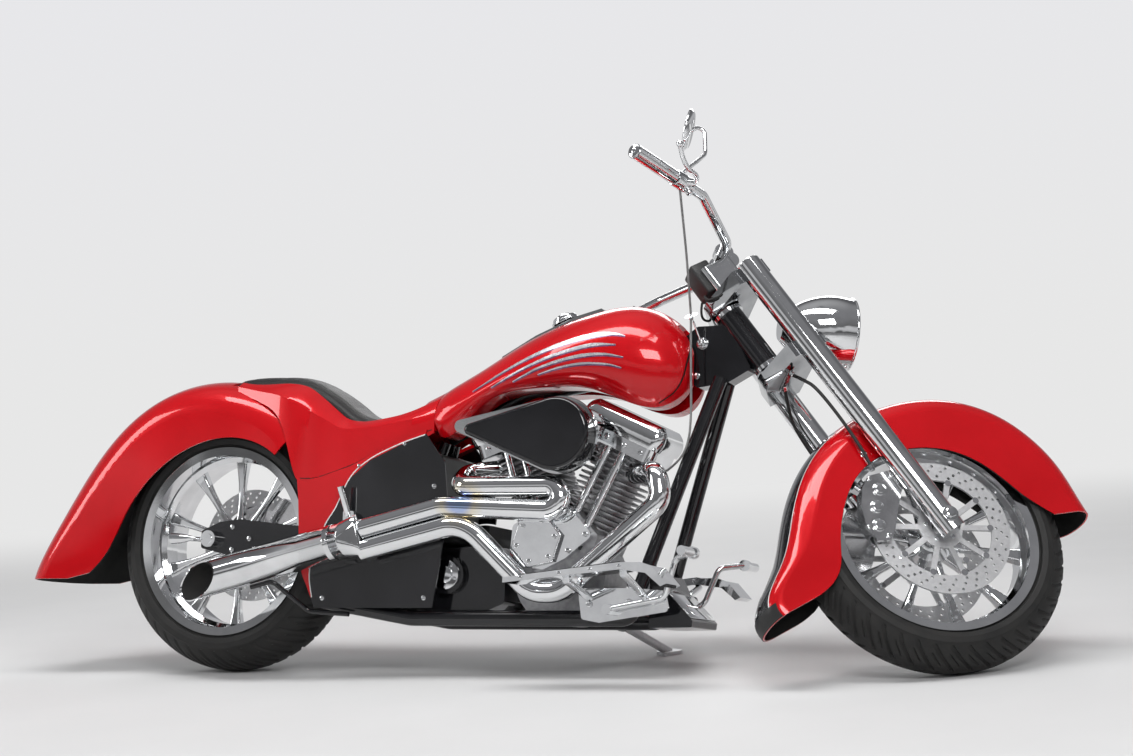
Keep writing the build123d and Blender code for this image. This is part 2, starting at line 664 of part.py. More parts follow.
lamp_y = -(arm_out + 38)
lamp_line = Polyline((0, 0), (0, 14)) + TangentArc((0, 14), (70, 2), tangent=(1, 0)) + Polyline((70, 2), (70, 0), (0, 0))
lamp = revolve(make_face(lamp_line), Axis.X)
lamp = Location((-96, lamp_y, 0)) * lamp
lamp = lamp + rod((-62, lamp_y, 0), (-30, -arm_out + 4, 0), 6) - arm_right
rear_lamps = pair(lamp)

# Steering: trees, fork legs and the bar
tree_out = 42.0


def tree(middle):
    """A plate square to the steering axis that clamps both legs and carries the stem."""
    outline = make_hull((
        Pos(fork_offset, leg_y) * Circle(tree_out)).edges()
        + (Pos(fork_offset, -leg_y) * Circle(tree_out)).edges()
        + (Circle(head_radius + 8)).edges())
    base = Plane(on_fork(middle - tree_thickness / 2, 0, 0), x_dir=fork_ahead, z_dir=stem_up)
    return extrude(base * outline, tree_thickness)


def leg(side):
    return rod(on_fork(-leg_bottom, fork_offset, side * leg_y), on_fork(leg_top, fork_offset, side * leg_y), leg_radius)


leg_room = Compound(children=[
    rod(on_fork(200, fork_offset, side * leg_y), on_fork(900, fork_offset, side * leg_y), leg_radius + 0.05)
    for side in (-1, 1)
])
axle_room = across(axle_line.X, axle_line.Z, front_axle_radius + 0.05, -leg_y, leg_y)
front_axle = across(axle_line.X, axle_line.Z, front_axle_radius, 0.5 - leg_y, leg_y - 0.5)
fork_legs = Compound(children=[leg(-1) - axle_room, leg(1) - axle_room])
top_tree = tree(top_tree_height) - leg_room
stem_low = lower_tree_height - tree_thickness / 2
stem_high = top_tree_height - tree_thickness / 2
stem = rod(on_fork(stem_low, 0, 0), on_fork(stem_high, 0, 0), stem_radius)
lower_tree = tree(lower_tree_height) - leg_room + stem

bar_up = 859.0
bar_ahead = 72.0
tree_top = top_tree_height + tree_thickness / 2
bar_middle = on_fork(bar_up, bar_ahead, 0)
bar_end = Vector(1013, -408, 640)
bar_bend = Vector(1208, -222, 697)
bar_points = [
    (bar_end.X, -bar_end.Y, bar_end.Z), (bar_bend.X, -bar_bend.Y, bar_bend.Z),
    (bar_middle.X, 72, bar_middle.Z), (bar_middle.X, -72, bar_middle.Z), bar_bend, bar_end,
]
handlebar = bent_rod(bar_points, bar_radius, [60, 60, 60, 60])
riser_plane = Plane(on_fork(tree_top + seat_gap, 34, 0), x_dir=fork_ahead, z_dir=stem_up)
riser = extrude(riser_plane * RectangleRounded(84, 92, 10), bar_up - bar_radius - 4 - tree_top)
for side in (-1, 1):
    riser = riser + rod(on_fork(bar_up - 26, bar_ahead, side * 30 - 13), on_fork(bar_up - 26, bar_ahead, side * 30 + 13), 22)
    riser = riser + rod(bar_middle + Vector(0, side * 30 - 13, 0), bar_middle + Vector(0, side * 30 + 13, 0), 23)
riser = riser - handlebar

grip_way = (bar_end - bar_bend).normalized()
grip_length = 156.0
grip_start = bar_end - grip_way * (grip_length - 6)
bar_room = rod(bar_bend, bar_end, bar_radius + 0.05)
grip = rod(grip_start, bar_end + grip_way * 6, grip_radius) - bar_room
grips = pair(grip)
perch_end = grip_start - grip_way * 3
perch = rod(perch_end - grip_way * 44, perch_end, 23)
bar_front = Vector(0.92, 0, 0.39)
perch_front = perch_end - grip_way * 22
perch = perch + rod(perch_front, perch_front + bar_front * 44, 12)
lever = bent_rod([
    perch_front + bar_front * 40, perch_front + bar_front * 56 + grip_way * 46,
    perch_front + bar_front * 50 + grip_way * 178,
], 6, [40])
lever = lever + Location(perch_front + bar_front * 50 + grip_way * 178) * Sphere(9)
hand_control = perch + lever - bar_room - grip
hand_controls = pair(hand_control)

mirror_head = Vector(1157, -250, 863)
mirror_radius = 50.0
glass_way = Vector(-0.96, 0.2, 0.2).normalized()
mirror_disc = rod(mirror_head - glass_way * 12, mirror_head, mirror_radius)
mirror_disc = chamfer(mirror_disc.edges().sort_by(Axis.X)[-1], 8)
mirror_arm = bent_rod([
    perch_front + Vector(4, 0, 18), Vector(1206, -246, 800), Vector(1200, -250, 884), mirror_head - glass_way * 10,
], 5, [40, 14])
mirrors = pair(mirror_disc + mirror_arm - hand_control)

# Headlamp
lamp_rim = Vector(1628, 0, 526)
lamp_tilt = 3.5
shell_length = 172.0
shell_radius = 90.0
shell_line = make_face(
    Line((0, 0), (0, 30)) + ThreePointArc((0, 30), (62, 76), (shell_length - 20, shell_radius))
    + Polyline((shell_length - 20, shell_radius), (shell_length, shell_radius - 2), (shell_length, 0), (0, 0)))
lamp_plane = Location(lamp_rim, (0, -lamp_tilt, 0)) * Pos(-shell_length, 0, 0)
headlamp_shell = lamp_plane * revolve(shell_line, Axis.X)
glass_line = make_face(
    Polyline((shell_length - 6, 0), (shell_length - 6, shell_radius - 8), (shell_length + 1, shell_radius - 8))
    + ThreePointArc((shell_length + 1, shell_radius - 8), (shell_length + 10, 44), (shell_length + 13, 2))
    + Polyline((shell_length + 13, 2), (shell_length + 13, 0), (shell_length - 6, 0)))
headlamp_glass = lamp_plane * revolve(glass_line, Axis.X)
glass_back = shell_length - 6 - seat_gap
glass_edge = shell_radius - 8 + seat_gap
glass_room = lamp_plane * revolve(make_face(Polyline(
    (glass_back, 0), (glass_back, glass_edge), (shell_length + 40, glass_edge), (shell_length + 40, 0), close=True)), Axis.X)
lamp_foot = Vector(1538, 0, 444)
headlamp_shell = headlamp_shell - glass_room
lamp_bracket = rod(on_fork(lower_tree_height, fork_offset - 6, 0), lamp_foot, 12) - lower_tree
headlamp_shell = headlamp_shell + lamp_bracket - lower_tree

# Front fender; columns as for the rear one, round the front axle
front_arch = [
    (217, front_fender_half - 14, 474, 356), (200, front_fender_half - 4, 390, 246),
    (182, front_fender_half, 346, 228), (160, front_fender_half, 335, 218), (135, front_fender_half, 336, 212),
    (112, front_fender_half, 346, 204), (88, front_fender_half, 368, 204), (62, front_fender_half, 385, 208),
    (38, front_fender_half - 4, 388, 222), (17, front_fender_half - 14, 398, 290),
]
front_fender = arch(front_arch, 0, 0) - arch(front_arch, fender_wall, 80)
front_fender = Location(axle_line) * front_fender
boss_at = on_fork(232, fork_offset, 0)
fender_boss = across(boss_at.X, boss_at.Z, 9, -(leg_y - leg_radius + 0.5), -front_fender_half + 2)
front_fender = front_fender + (fender_boss - leg_room) + (mirrored(fender_boss) - leg_room)

# Front calipers and hoses
caliper_at = [
    (-172, 95), (-120, 118), (-84, 104), (-96, 60), (-104, 14), (-110, -30), (-120, -60), (-150, -66), (-178, -30),
    (-188, 20), (-186, 60),
]
caliper = side_plate([(axle_line.X + x, axle_line.Z + z) for x, z in caliper_at], -disc_y - 18, -disc_y + 18, 6)
caliper = caliper - across(axle_line.X, axle_line.Z, front_disc_radius + 5,
                           -disc_y - disc_thickness / 2 - pad_gap, -disc_y + disc_thickness / 2 + pad_gap)
caliper = caliper - rod(on_fork(0, fork_offset, -leg_y), on_fork(400, fork_offset, -leg_y), leg_radius + 0.05)
caliper = caliper.solids().sort_by(SortBy.VOLUME)[-1]
front_calipers = pair(caliper)
hose = bent_rod([
    on_fork(stem_low - 3, 20, -30), on_fork(470, 15, -62), on_fork(420, 12, -98), on_fork(240, 8, -100),
    on_fork(190, -2, -94),
], 4, [30, 30, 30])
brake_hoses = pair(hose - caliper)

# Chrome strip along the top of the tank
dash_line = [(748, 400), (748, 452), (839, 501), (945, 543), (1012, 559), (1030, 545), (1030, 480)]
tank_dash = side_plate(dash_line, -24, 24) - tank_body
tank_dash = tank_dash.solids().sort_by(Axis.Z)[-1]

# Parking: the machine leans on its side stand with the bars on their left stop
steering_axis = Axis(stem_foot, stem_up)
upright = Location((0, 0, 0), (-lean_angle, 0, 0))


def on_place(place, point):
    """Where a point of the upright machine comes to stand."""
    return (place * Location(point)).position


def way_on_place(place, way):
    return on_place(place, way) - on_place(place, Vector(0, 0, 0))


def turn_bars(point):
    """Where a point of the steering goes when the bars turn on their stop."""
    return Vertex(*point).rotate(steering_axis, steering_lock).center()


def lowest(place, middle, way, radius, crown):
    """Height of a tyre's lowest point."""
    wheel_way = way_on_place(place, way)
    return on_place(place, middle).Z - (radius - crown) * sqrt(1 - wheel_way.Z ** 2) - crown


front_middle = turn_bars(axle_line)
front_way = turn_bars(axle_line + Vector(0, 100, 0)) - front_middle
front_way = front_way / front_way.length
low_pitch = -2.0
high_pitch = 4.0
for step in range(40):
    pitch = (low_pitch + high_pitch) / 2
    place = Location((0, 0, 0), (0, pitch, 0)) * upright
    rear_low = lowest(place, Vector(0, 0, 0), Vector(0, 1, 0), rear_tyre_radius, rear_crown_radius)
    front_low = lowest(place, front_middle, front_way, front_tyre_radius, front_crown_radius)
    if front_low > rear_low:
        low_pitch = pitch
    else:
        high_pitch = pitch
parked = Location((0, 0, -rear_low)) * place
floor_way = way_on_place(parked.inverse(), Vector(0, 0, 1))
floor_spot = on_place(parked.inverse(), Vector(0, 0, 0))


def drop_to_floor(x, y):
    """The point of the floor, in the upright machine's frame, under the given place."""
    z = floor_spot.Z - (floor_way.X * (x - floor_spot.X) + floor_way.Y * (y - floor_spot.Y)) / floor_way.Z
    return Vector(x, y, z)


# Side stand: its eye turns on a bolt under a lug of the left rail
stand_pivot = Vector(1010, 148, rail_height - 4)
stand_foot = drop_to_floor(1092, 268)
stand_way = (stand_foot + floor_way * 12 - stand_pivot).normalized()
folded_way = Vector(-1, 0.2, 0).normalized()
stand_axis = stand_way.cross(folded_way).normalized()
stand_swing = degrees(atan2(stand_way.cross(folded_way).length, stand_way.dot(folded_way)))
lug_thickness = 10.0
eye_thickness = 14.0
bolt_radius = 8.0
eye_low = stand_pivot - stand_axis * eye_thickness / 2
eye_high = stand_pivot + stand_axis * eye_thickness / 2
lug_low = eye_high + stand_axis * seat_gap
lug_high = lug_low + stand_axis * lug_thickness
lug_foot = Vector(stand_pivot.X, rail_spread + 4, rail_height)
lug = rod(lug_low, lug_high, 21)
lug_beam = rod(lug_foot + Vector(-18, 0, 8), (lug_low + lug_high) / 2 + Vector(-10, 0, 0), 9)
lug_beam = lug_beam + rod(lug_foot + Vector(22, 0, 8), (lug_low + lug_high) / 2 + Vector(10, 0, 0), 9)
eye_sweep = rod(eye_low - stand_axis * 30, lug_low, 21 + 3)
bolt = rod(eye_low - stand_axis * (seat_gap + 5), lug_high + stand_axis * 5, bolt_radius)
bolt = bolt + rod(eye_low - stand_axis * (seat_gap + 5), eye_low - stand_axis * seat_gap, bolt_radius + 6)
stand_bracket = (lug + lug_beam - eye_sweep) + bolt
left_rail = mirrored(lower_rail)
stand_bracket = stand_bracket - left_rail
stand_leg = rod(stand_pivot + stand_way * 8, stand_foot + floor_way * 5, 11)
foot_pad = extrude(Plane(stand_foot, x_dir=stand_way, z_dir=floor_way) * RectangleRounded(58, 46, 12), 9)
side_stand = rod(eye_low, eye_high, 20) + stand_leg + foot_pad
side_stand = side_stand - rod(eye_low - stand_axis * 9, eye_high + stand_axis * 9, bolt_radius + 0.06)
side_stand = side_stand - rod(eye_high, eye_high + stand_axis * 30, 24)
side_stand = side_stand - rod(eye_low, eye_low - stand_axis * 30, bolt_radius + 8)
under_floor = extrude(Plane(stand_foot, x_dir=stand_way, z_dir=floor_way) * Rectangle(400, 400), -60)
side_stand = (side_stand - under_floor).solids().sort_by(SortBy.VOLUME)[-1]
left_rail = left_rail + stand_bracket
left_panel = mirrored(panel) - teardrop(
    clutch_x, clutch_z, 108 + 4, crank_x, crank_z, 84, arm_left_in, primary_out)

fixed_nodes = {
    "frame_neck": frame_neck + backbone,
    "neck_cups": neck_cups,
    "downtubes": pair(downtube),
    "lower_rails": Compound(children=[lower_rail, left_rail]),
    "seat_posts": pair(seat_post),
    "chin_guard": chin_guard,
    "swingarm": swingarm,
    "pivot_pin": pivot_pin,
    "rear_axle": rear_axle,
    "rear_fender": rear_fender,
    "seat_base": seat_base,
    "side_skirts": pair(skirt),
    "side_panels": Compound(children=[panel, left_panel]),
    "oil_tank": oil_tank,
    "seat": seat,
    "fuel_tank": fuel_tank,
    "tank_dash": tank_dash,
    "crankcase": crankcase,
    "cylinders": cylinders,
    "cylinder_heads": heads,
    "rocker_boxes": rocker_boxes,
    "pushrod_tubes": pushrod_tubes,
    "cam_cover": cam_cover,
    "intake": intake + cleaner_back,
    "air_cleaner": air_cleaner,
    "primary_cover": primary,
    "gearbox": gearbox + front_pulley,
    "drive_belt": drive_belt,
    "exhaust_pipes": Compound(children=[header_front, header_rear]),
    "muffler": muffler,
    "muffler_hanger": hanger,
    "footboards": footboards,
    "foot_pedals": foot_pedals,
    "passenger_pegs": passenger_pegs,
    "rear_caliper": rear_caliper,
    "rear_lamps": rear_lamps,
}
stand_nodes = {"side_stand": side_stand}
rear_wheel_nodes = {
    "rear_tyre": rear_tyre,
    "rear_rim": rear_rim,
    "rear_disc": rear_disc,
    "rear_pulley": rear_pulley,
}
steering_nodes = {
    "top_tree": top_tree,
    "lower_tree": lower_tree,
    "fork_legs": fork_legs,
    "handlebar": handlebar + riser,
    "grips": grips,
    "hand_controls": hand_controls,
    "mirrors": mirrors,
    "headlamp_shell": headlamp_shell,
    "headlamp_glass": headlamp_glass,
    "front_axle": front_axle,
    "front_fender": front_fender,
    "front_calipers": front_calipers,
    "brake_hoses": brake_hoses,
}
front_wheel_nodes = {
    "front_tyre": Location(axle_line) * front_tyre,
    "front_rim": Location(axle_line) * front_rim,
    "front_discs": Location(axle_line) * front_discs,
}

# Place every node, with the origin under the middle of the whole machine
machine = {**fixed_nodes, **stand_nodes, **rear_wheel_nodes}
for name, shape in {**steering_nodes, **front_wheel_nodes}.items():
    machine[name] = shape.rotate(steering_axis, steering_lock)
box = Compound(children=[parked * shape for shape in machine.values()]).bounding_box()
centred = Location((-(box.min.X + box.max.X) / 2, -(box.min.Y + box.max.Y) / 2, 0)) * parked
home = Location(centred.position, centred.orientation)
for name, shape in machine.items():
    export_step(home * shape, f"parts/{name}.step")

# Where the moving pieces turn, for the record
for label, spot, way in [
    ("steering", stem_foot, stem_up),
    ("front_wheel", front_middle, front_way),
    ("rear_wheel", Vector(0, 0, 0), Vector(0, 1, 0)),
    ("side_stand", stand_pivot, stand_axis),
    ("toe_peg_right", Vector(1322, peg_start - peg_length / 2, -54), Vector(0, -1, 0)),
    ("toe_peg_left", Vector(1322 + board_shift, peg_length / 2 - peg_start, -54), Vector(0, 1, 0)),
    ("stand_foot", stand_foot, floor_way * -1),
    ("upright", Vector(0, 0, 0), Vector(0, 0, 1)),
    ("forward", Vector(0, 0, 0), Vector(1, 0, 0)),
]:
    print("joint", label, *[round(v, 3) for v in on_place(home, spot)], *[round(v, 6) for v in way_on_place(home, way)])
print("stand swing", round(stand_swing, 2), "pitch", round(pitch, 4), "rear low", round(rear_low, 3))
print("size", box.size, "low", box.min.Z)
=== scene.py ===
import bpy, bmesh
from math import radians, sin, cos, pi, atan2, sqrt
from mathutils import Vector, Matrix
from mathutils.bvhtree import BVHTree


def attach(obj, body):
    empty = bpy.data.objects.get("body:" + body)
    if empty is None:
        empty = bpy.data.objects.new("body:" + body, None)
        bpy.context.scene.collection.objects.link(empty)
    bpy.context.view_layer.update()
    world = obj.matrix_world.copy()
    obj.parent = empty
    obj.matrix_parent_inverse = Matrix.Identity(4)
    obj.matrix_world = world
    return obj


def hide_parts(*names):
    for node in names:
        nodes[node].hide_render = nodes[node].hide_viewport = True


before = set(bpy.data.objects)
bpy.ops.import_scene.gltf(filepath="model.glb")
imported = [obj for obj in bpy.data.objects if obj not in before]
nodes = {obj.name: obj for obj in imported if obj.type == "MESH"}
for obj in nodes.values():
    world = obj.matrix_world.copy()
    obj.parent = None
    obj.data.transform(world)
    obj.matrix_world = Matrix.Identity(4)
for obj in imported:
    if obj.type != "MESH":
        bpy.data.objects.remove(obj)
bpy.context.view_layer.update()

# Studio: a pale floor that runs into a pale backdrop, soft lamps and a dark ceiling for the plating to mirror.
# The camera stands where the photographer stood, and leans a little to one side. Behind it the room carries a
# bright band that sways, and what the plating mirrors of the backdrop is dimmed.
camera_at = Vector((2.1279, -4.6240, 0.7611))
camera_turn = radians(22.935)
camera_dip = radians(-0.653)
camera_roll = radians(3.605)
camera_focal = 65.51
from_camera = (-sin(camera_turn), cos(camera_turn), 0)
sideways = Vector((cos(camera_turn), sin(camera_turn), 0))
ahead = Vector((-sin(camera_turn) * cos(camera_dip), cos(camera_turn) * cos(camera_dip), sin(camera_dip)))
overhead = sideways.cross(ahead)
camera_right = sideways * cos(camera_roll) - overhead * sin(camera_roll)
camera_up = sideways * sin(camera_roll) + overhead * cos(camera_roll)


def new_object(name, data):
    """An object with this data, at the origin of the scene."""
    thing = bpy.data.objects.new(name, data)
    bpy.context.collection.objects.link(thing)
    return thing


def mesh_from(form, name):
    """A mesh with a form's surface; the form is used up."""
    mesh = bpy.data.meshes.new(name)
    form.to_mesh(mesh)
    form.free()
    return mesh


def add_node(tree, kind, inputs=None, **settings):
    """A shader node with its settings, and with inputs given by name or number."""
    node = tree.nodes.new("ShaderNode" + kind)
    for name, value in settings.items():
        setattr(node, name, value)
    for socket, value in (inputs or {}).items():
        node.inputs[socket].default_value = value
    return node


def link_up(tree, *links):
    """Joins one node's output to another's input, each socket given by name or number."""
    for start, out, end, socket in links:
        tree.links.new(start.outputs[out], end.inputs[socket])


def add_tones(ramp, stops, cold):
    """Adds grey stops to a colour ramp, each a little colder than grey."""
    for spot, shade in stops:
        ramp.color_ramp.elements.new(spot).color = (shade, shade, shade * cold, 1)


camera_data = bpy.data.cameras.new("camera")
camera_data.lens = camera_focal
camera_data.sensor_width = 36
camera = new_object("camera", camera_data)
camera.matrix_world = Matrix.Translation(camera_at) @ Matrix((camera_right, camera_up, -ahead)).transposed().to_4x4()
bpy.context.scene.camera = camera
bpy.context.scene.view_settings.view_transform = "Standard"

backdrop_shade = (0.80, 0.80, 0.80, 1)
floor_half = 40.0
floor_form = bmesh.new()
bmesh.ops.create_grid(floor_form, x_segments=2, y_segments=2, size=floor_half)
floor = new_object("floor", mesh_from(floor_form, "floor"))
floor_finish = bpy.data.materials.new("pale floor")
floor_finish.use_nodes = True
floor_tree = floor_finish.node_tree
floor_shader = floor_tree.nodes["Principled BSDF"]
floor_shader.inputs["Roughness"].default_value = 0.9
floor_shader.inputs["Specular IOR Level"].default_value = 0.2
floor_place = add_node(floor_tree, "TexCoord")
floor_grain = add_node(floor_tree, "TexNoise", {"Scale": 3.0})
floor_tone = add_node(floor_tree, "ValToRGB")
floor_tone.color_ramp.elements[0].color = (0.63, 0.63, 0.63, 1)
floor_tone.color_ramp.elements[1].color = (0.67, 0.67, 0.67, 1)
floor_far = add_node(floor_tree, "Emission", {"Color": backdrop_shade})
floor_reach = add_node(floor_tree, "VectorMath", {1: from_camera}, operation="DOT_PRODUCT")
floor_fade = add_node(floor_tree, "MapRange", {"From Min": 1.2, "From Max": 6.0}, interpolation_type="SMOOTHERSTEP")
floor_blend = add_node(floor_tree, "MixShader")
link_up(floor_tree, (floor_place, "Object", floor_grain, "Vector"), (floor_grain, "Fac", floor_tone, "Fac"),
        (floor_tone, "Color", floor_shader, "Base Color"), (floor_place, "Object", floor_reach, 0),
        (floor_reach, "Value", floor_fade, "Value"), (floor_fade, "Result", floor_blend, "Fac"),
        (floor_shader, "BSDF", floor_blend, 1), (floor_far, "Emission", floor_blend, 2),
        (floor_blend, "Shader", floor_tree.nodes["Material Output"], "Surface"))
floor.data.materials.append(floor_finish)

studio = bpy.data.worlds.new("studio")
bpy.context.scene.world = studio
studio.use_nodes = True
studio_tree = studio.node_tree
studio_place = add_node(studio_tree, "TexCoord")
studio_split = add_node(studio_tree, "SeparateXYZ")
studio_tone = add_node(studio_tree, "ValToRGB")
add_tones(studio_tone, [(0.20, 0.80), (0.30, 0.40), (0.45, 0.20), (0.75, 0.12), (1.0, 0.16)], 1.03)
studio_tone.color_ramp.elements[0].color = backdrop_shade
room_tone = add_node(studio_tree, "ValToRGB")
room_tone.color_ramp.elements[0].color = (0.10, 0.10, 0.10, 1)
room_tone.color_ramp.elements[1].color = (0.22, 0.22, 0.23, 1)
add_tones(room_tone, [(0.29, 0.10), (0.33, 0.42), (0.49, 0.58), (0.56, 0.14)], 1.02)
room_sway = add_node(studio_tree, "TexNoise", {"Scale": 2.6, "Detail": 2.0})
room_height = add_node(studio_tree, "Math", {1: 0.5}, operation="MULTIPLY_ADD")
studio_path = add_node(studio_tree, "LightPath")
gloss_share = add_node(studio_tree, "Math", {1: 0.5}, operation="MULTIPLY")
gloss_dim = add_node(studio_tree, "Mix", {7: (0.10, 0.10, 0.11, 1)}, data_type="RGBA")
studio_side = add_node(studio_tree, "VectorMath", {1: from_camera}, operation="DOT_PRODUCT")
studio_turn = add_node(studio_tree, "MapRange", {"From Min": -0.25, "From Max": 0.55})
studio_mix = add_node(studio_tree, "Mix", data_type="RGBA")
link_up(studio_tree, (studio_place, "Generated", studio_split, "Vector"), (studio_split, "Z", studio_tone, "Fac"),
        (studio_place, "Generated", room_sway, "Vector"), (room_sway, "Fac", room_height, 0),
        (studio_split, "Z", room_height, 2), (room_height, "Value", room_tone, "Fac"),
        (studio_path, "Is Glossy Ray", gloss_share, 0), (gloss_share, "Value", gloss_dim, 0),
        (studio_tone, "Color", gloss_dim, 6), (studio_place, "Generated", studio_side, 0),
        (studio_side, "Value", studio_turn, "Value"), (studio_turn, "Result", studio_mix, 0),
        (room_tone, "Color", studio_mix, 6), (gloss_dim, 2, studio_mix, 7),
        (studio_mix, 2, studio_tree.nodes["Background"], "Color"))

for name, spot, aim, wide, tall, power in [
    ("key lamp", (2.8, -4.2, 3.9), (0.1, 0, 0.5), 2.4, 1.6, 130),
    ("long top lamp", (0.0, -0.9, 4.2), (0, 0, 0.4), 4.6, 1.0, 130),
    ("rear fill lamp", (-4.8, -2.8, 2.6), (0, 0, 0.5), 1.4, 2.4, 70),
    ("back lamp", (-0.8, 4.6, 3.2), (0, 0, 0.5), 3.4, 1.4, 70),
]:
    lamp_data = bpy.data.lights.new(name, "AREA")
    lamp_data.shape = "RECTANGLE"
    lamp_data.size = wide
    lamp_data.size_y = tall
    lamp_data.energy = power
    lamp = new_object(name, lamp_data)
    lamp.location = spot
    lamp.rotation_euler = (Vector(aim) - Vector(spot)).to_track_quat("-Z", "Y").to_euler()

# Frame: a welded tube cradle with a gusseted neck and one backbone, sprayed in gloss black.
# The paint lies over ground welds, so it has a faint orange peel.
lean = radians(10.7)
nose_dip = radians(0.5851)
parked = (Matrix.Translation((-0.762458, -0.032394, 0.324499)) @ Matrix.Rotation(nose_dip, 4, "Y")
          @ Matrix.Rotation(-lean, 4, "X"))


def coating(name, dark, light, metallic, smooth, rough, grain, bump, clear=0.0):
    """A finish that varies a little over the surface, read in the machine's own coordinates."""
    finish = bpy.data.materials.new(name)
    finish.use_nodes = True
    tree = finish.node_tree
    shader = tree.nodes["Principled BSDF"]
    shader.inputs["Metallic"].default_value = metallic
    shader.inputs["Coat Weight"].default_value = clear
    shader.inputs["Coat Roughness"].default_value = 0.03
    shader.inputs["Specular IOR Level"].default_value = 0.1 if clear else 0.4
    place = add_node(tree, "TexCoord")
    cloud = add_node(tree, "TexNoise", {"Scale": grain, "Detail": 6.0})
    tone = add_node(tree, "ValToRGB")
    tone.color_ramp.elements[0].position = 0.3
    tone.color_ramp.elements[0].color = (*dark, 1)
    tone.color_ramp.elements[1].position = 0.7
    tone.color_ramp.elements[1].color = (*light, 1)
    shine = add_node(tree, "MapRange", {"To Min": smooth, "To Max": rough})
    peel = add_node(tree, "TexNoise", {"Scale": grain * 14, "Detail": 3.0})
    relief = add_node(tree, "Bump", {"Strength": bump, "Distance": 0.001})
    link_up(tree, (place, "Object", cloud, "Vector"), (cloud, "Fac", tone, "Fac"),
            (tone, "Color", shader, "Base Color"), (cloud, "Fac", shine, "Value"),
            (shine, "Result", shader, "Roughness"), (place, "Object", peel, "Vector"),
            (peel, "Fac", relief, "Height"), (relief, "Normal", shader, "Normal"))
    return finish


def dress(finish, *names):
    """Gives construction nodes a finish."""
    for name in names:
        nodes[name].data.materials.clear()
        nodes[name].data.materials.append(finish)


def settle(form, name, finish, body, place=parked, smooth_angle=35.0):
    """Turns a form into a piece that stands in its place on the machine and rides with a body."""
    bmesh.ops.transform(form, matrix=place, verts=form.verts)
    piece = new_object(name, mesh_from(form, name))
    piece.data.materials.append(finish)
    for face in piece.data.polygons:
        face.use_smooth = True
    piece.data.set_sharp_from_angle(angle=radians(smooth_angle))
    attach(piece, body)
    return piece


def aimed(at, way):
    """A frame at a point, with its Z axis along a direction."""
    return Matrix.Translation(Vector(at)) @ Vector(way).to_track_quat("Z", "Y").to_matrix().to_4x4()


def fixing(form, at, way, radius, height, sides=6, crown=0.25):
    """Adds a bolt head with a bevelled rim, seated at a point and standing along a direction."""
    way = Vector(way).normalized()
    made = bmesh.ops.create_cone(form, cap_ends=True, segments=sides, radius1=radius, radius2=radius, depth=height,
                                 matrix=aimed(Vector(at) + way * (height / 2), way))["verts"]
    edges = {edge for corner in made for edge in corner.link_edges}
    top = [edge for edge in edges if all((v.co - Vector(at)).dot(way) > height * 0.6 for v in edge.verts)]
    bmesh.ops.bevel(form, geom=top, offset=height * crown, segments=2, profile=0.5, affect="EDGES", material=-1)


def fixings_both_sides(form, spots, y, *head):
    """Adds the same fixings at x and z on the right and on the left, standing outward."""
    for side in (-1, 1):
        for x, z in spots:
            fixing(form, (x, side * y, z), (0, side, 0), *head)


black_paint = coating("gloss black paint", (0.005, 0.005, 0.006), (0.011, 0.011, 0.013), 0.0, 0.14, 0.28, 9.0, 0.06,
                      1.0)
dress(black_paint, "frame_neck", "downtubes", "lower_rails", "seat_posts", "chin_guard")
chrome = coating("chrome plate", (0.72, 0.73, 0.74), (0.86, 0.87, 0.88), 1.0, 0.025, 0.09, 16.0, 0.02)
neck_form = bmesh.new()
fixings_both_sides(neck_form, [(1.275, 0.458)], 0.0260, 0.0145, 0.003, 24)
fixings_both_sides(neck_form, [(1.275, 0.458)], 0.0290, 0.010, 0.008, 16)
fixings_both_sides(neck_form, [(1.262, 0.380)], 0.0260, 0.008, 0.006, 16)
settle(neck_form, "neck_bolts", chrome, "root")
dress(chrome, "neck_cups")

# Swingarm: two deep box arms welded to a cross tube, in the same black, pivoting on a plated pin.
# The rear axle runs through both arms and carries a round nut cover on each end.
dress(black_paint, "swingarm")
dress(chrome, "pivot_pin", "rear_axle")
arm_form = bmesh.new()
fixings_both_sides(arm_form, [(0.060, 0.030), (0.060, -0.028), (0.110, 0.0)], 0.1325, 0.007, 0.005)
settle(arm_form, "swingarm_bolts", chrome, "root")

# Engine: sand-cast aluminium cases and finned barrels with polished, chromed covers bolted on.
# The gearbox behind is painted black and carries a chromed round cover. Cap screws hold the covers, and the barrel
# fins keep the rough skin of the casting.
cast_alloy = coating("cast aluminium", (0.30, 0.30, 0.31), (0.46, 0.46, 0.47), 1.0, 0.32, 0.5, 60.0, 0.5)
dress(cast_alloy, "crankcase", "cylinders", "cylinder_heads")
dress(black_paint, "gearbox", "air_cleaner")
dress(chrome, "rocker_boxes", "cam_cover", "pushrod_tubes", "intake", "primary_cover")


def bolt_circle(form, centre, radius, count, first, side, *head):
    """Adds bolt heads in a circle round an axis across the machine, from a first angle in degrees."""
    for number in range(count):
        turn = radians(first) + 2 * pi * number / count
        fixing(form, Vector(centre) + Vector((cos(turn), 0, sin(turn))) * radius, (0, side, 0), *head)


def pour(part, form):
    """Adds one form's surface to another; the first form is used up."""
    carrier = mesh_from(part, "carrier")
    form.from_mesh(carrier)
    bpy.data.meshes.remove(carrier)


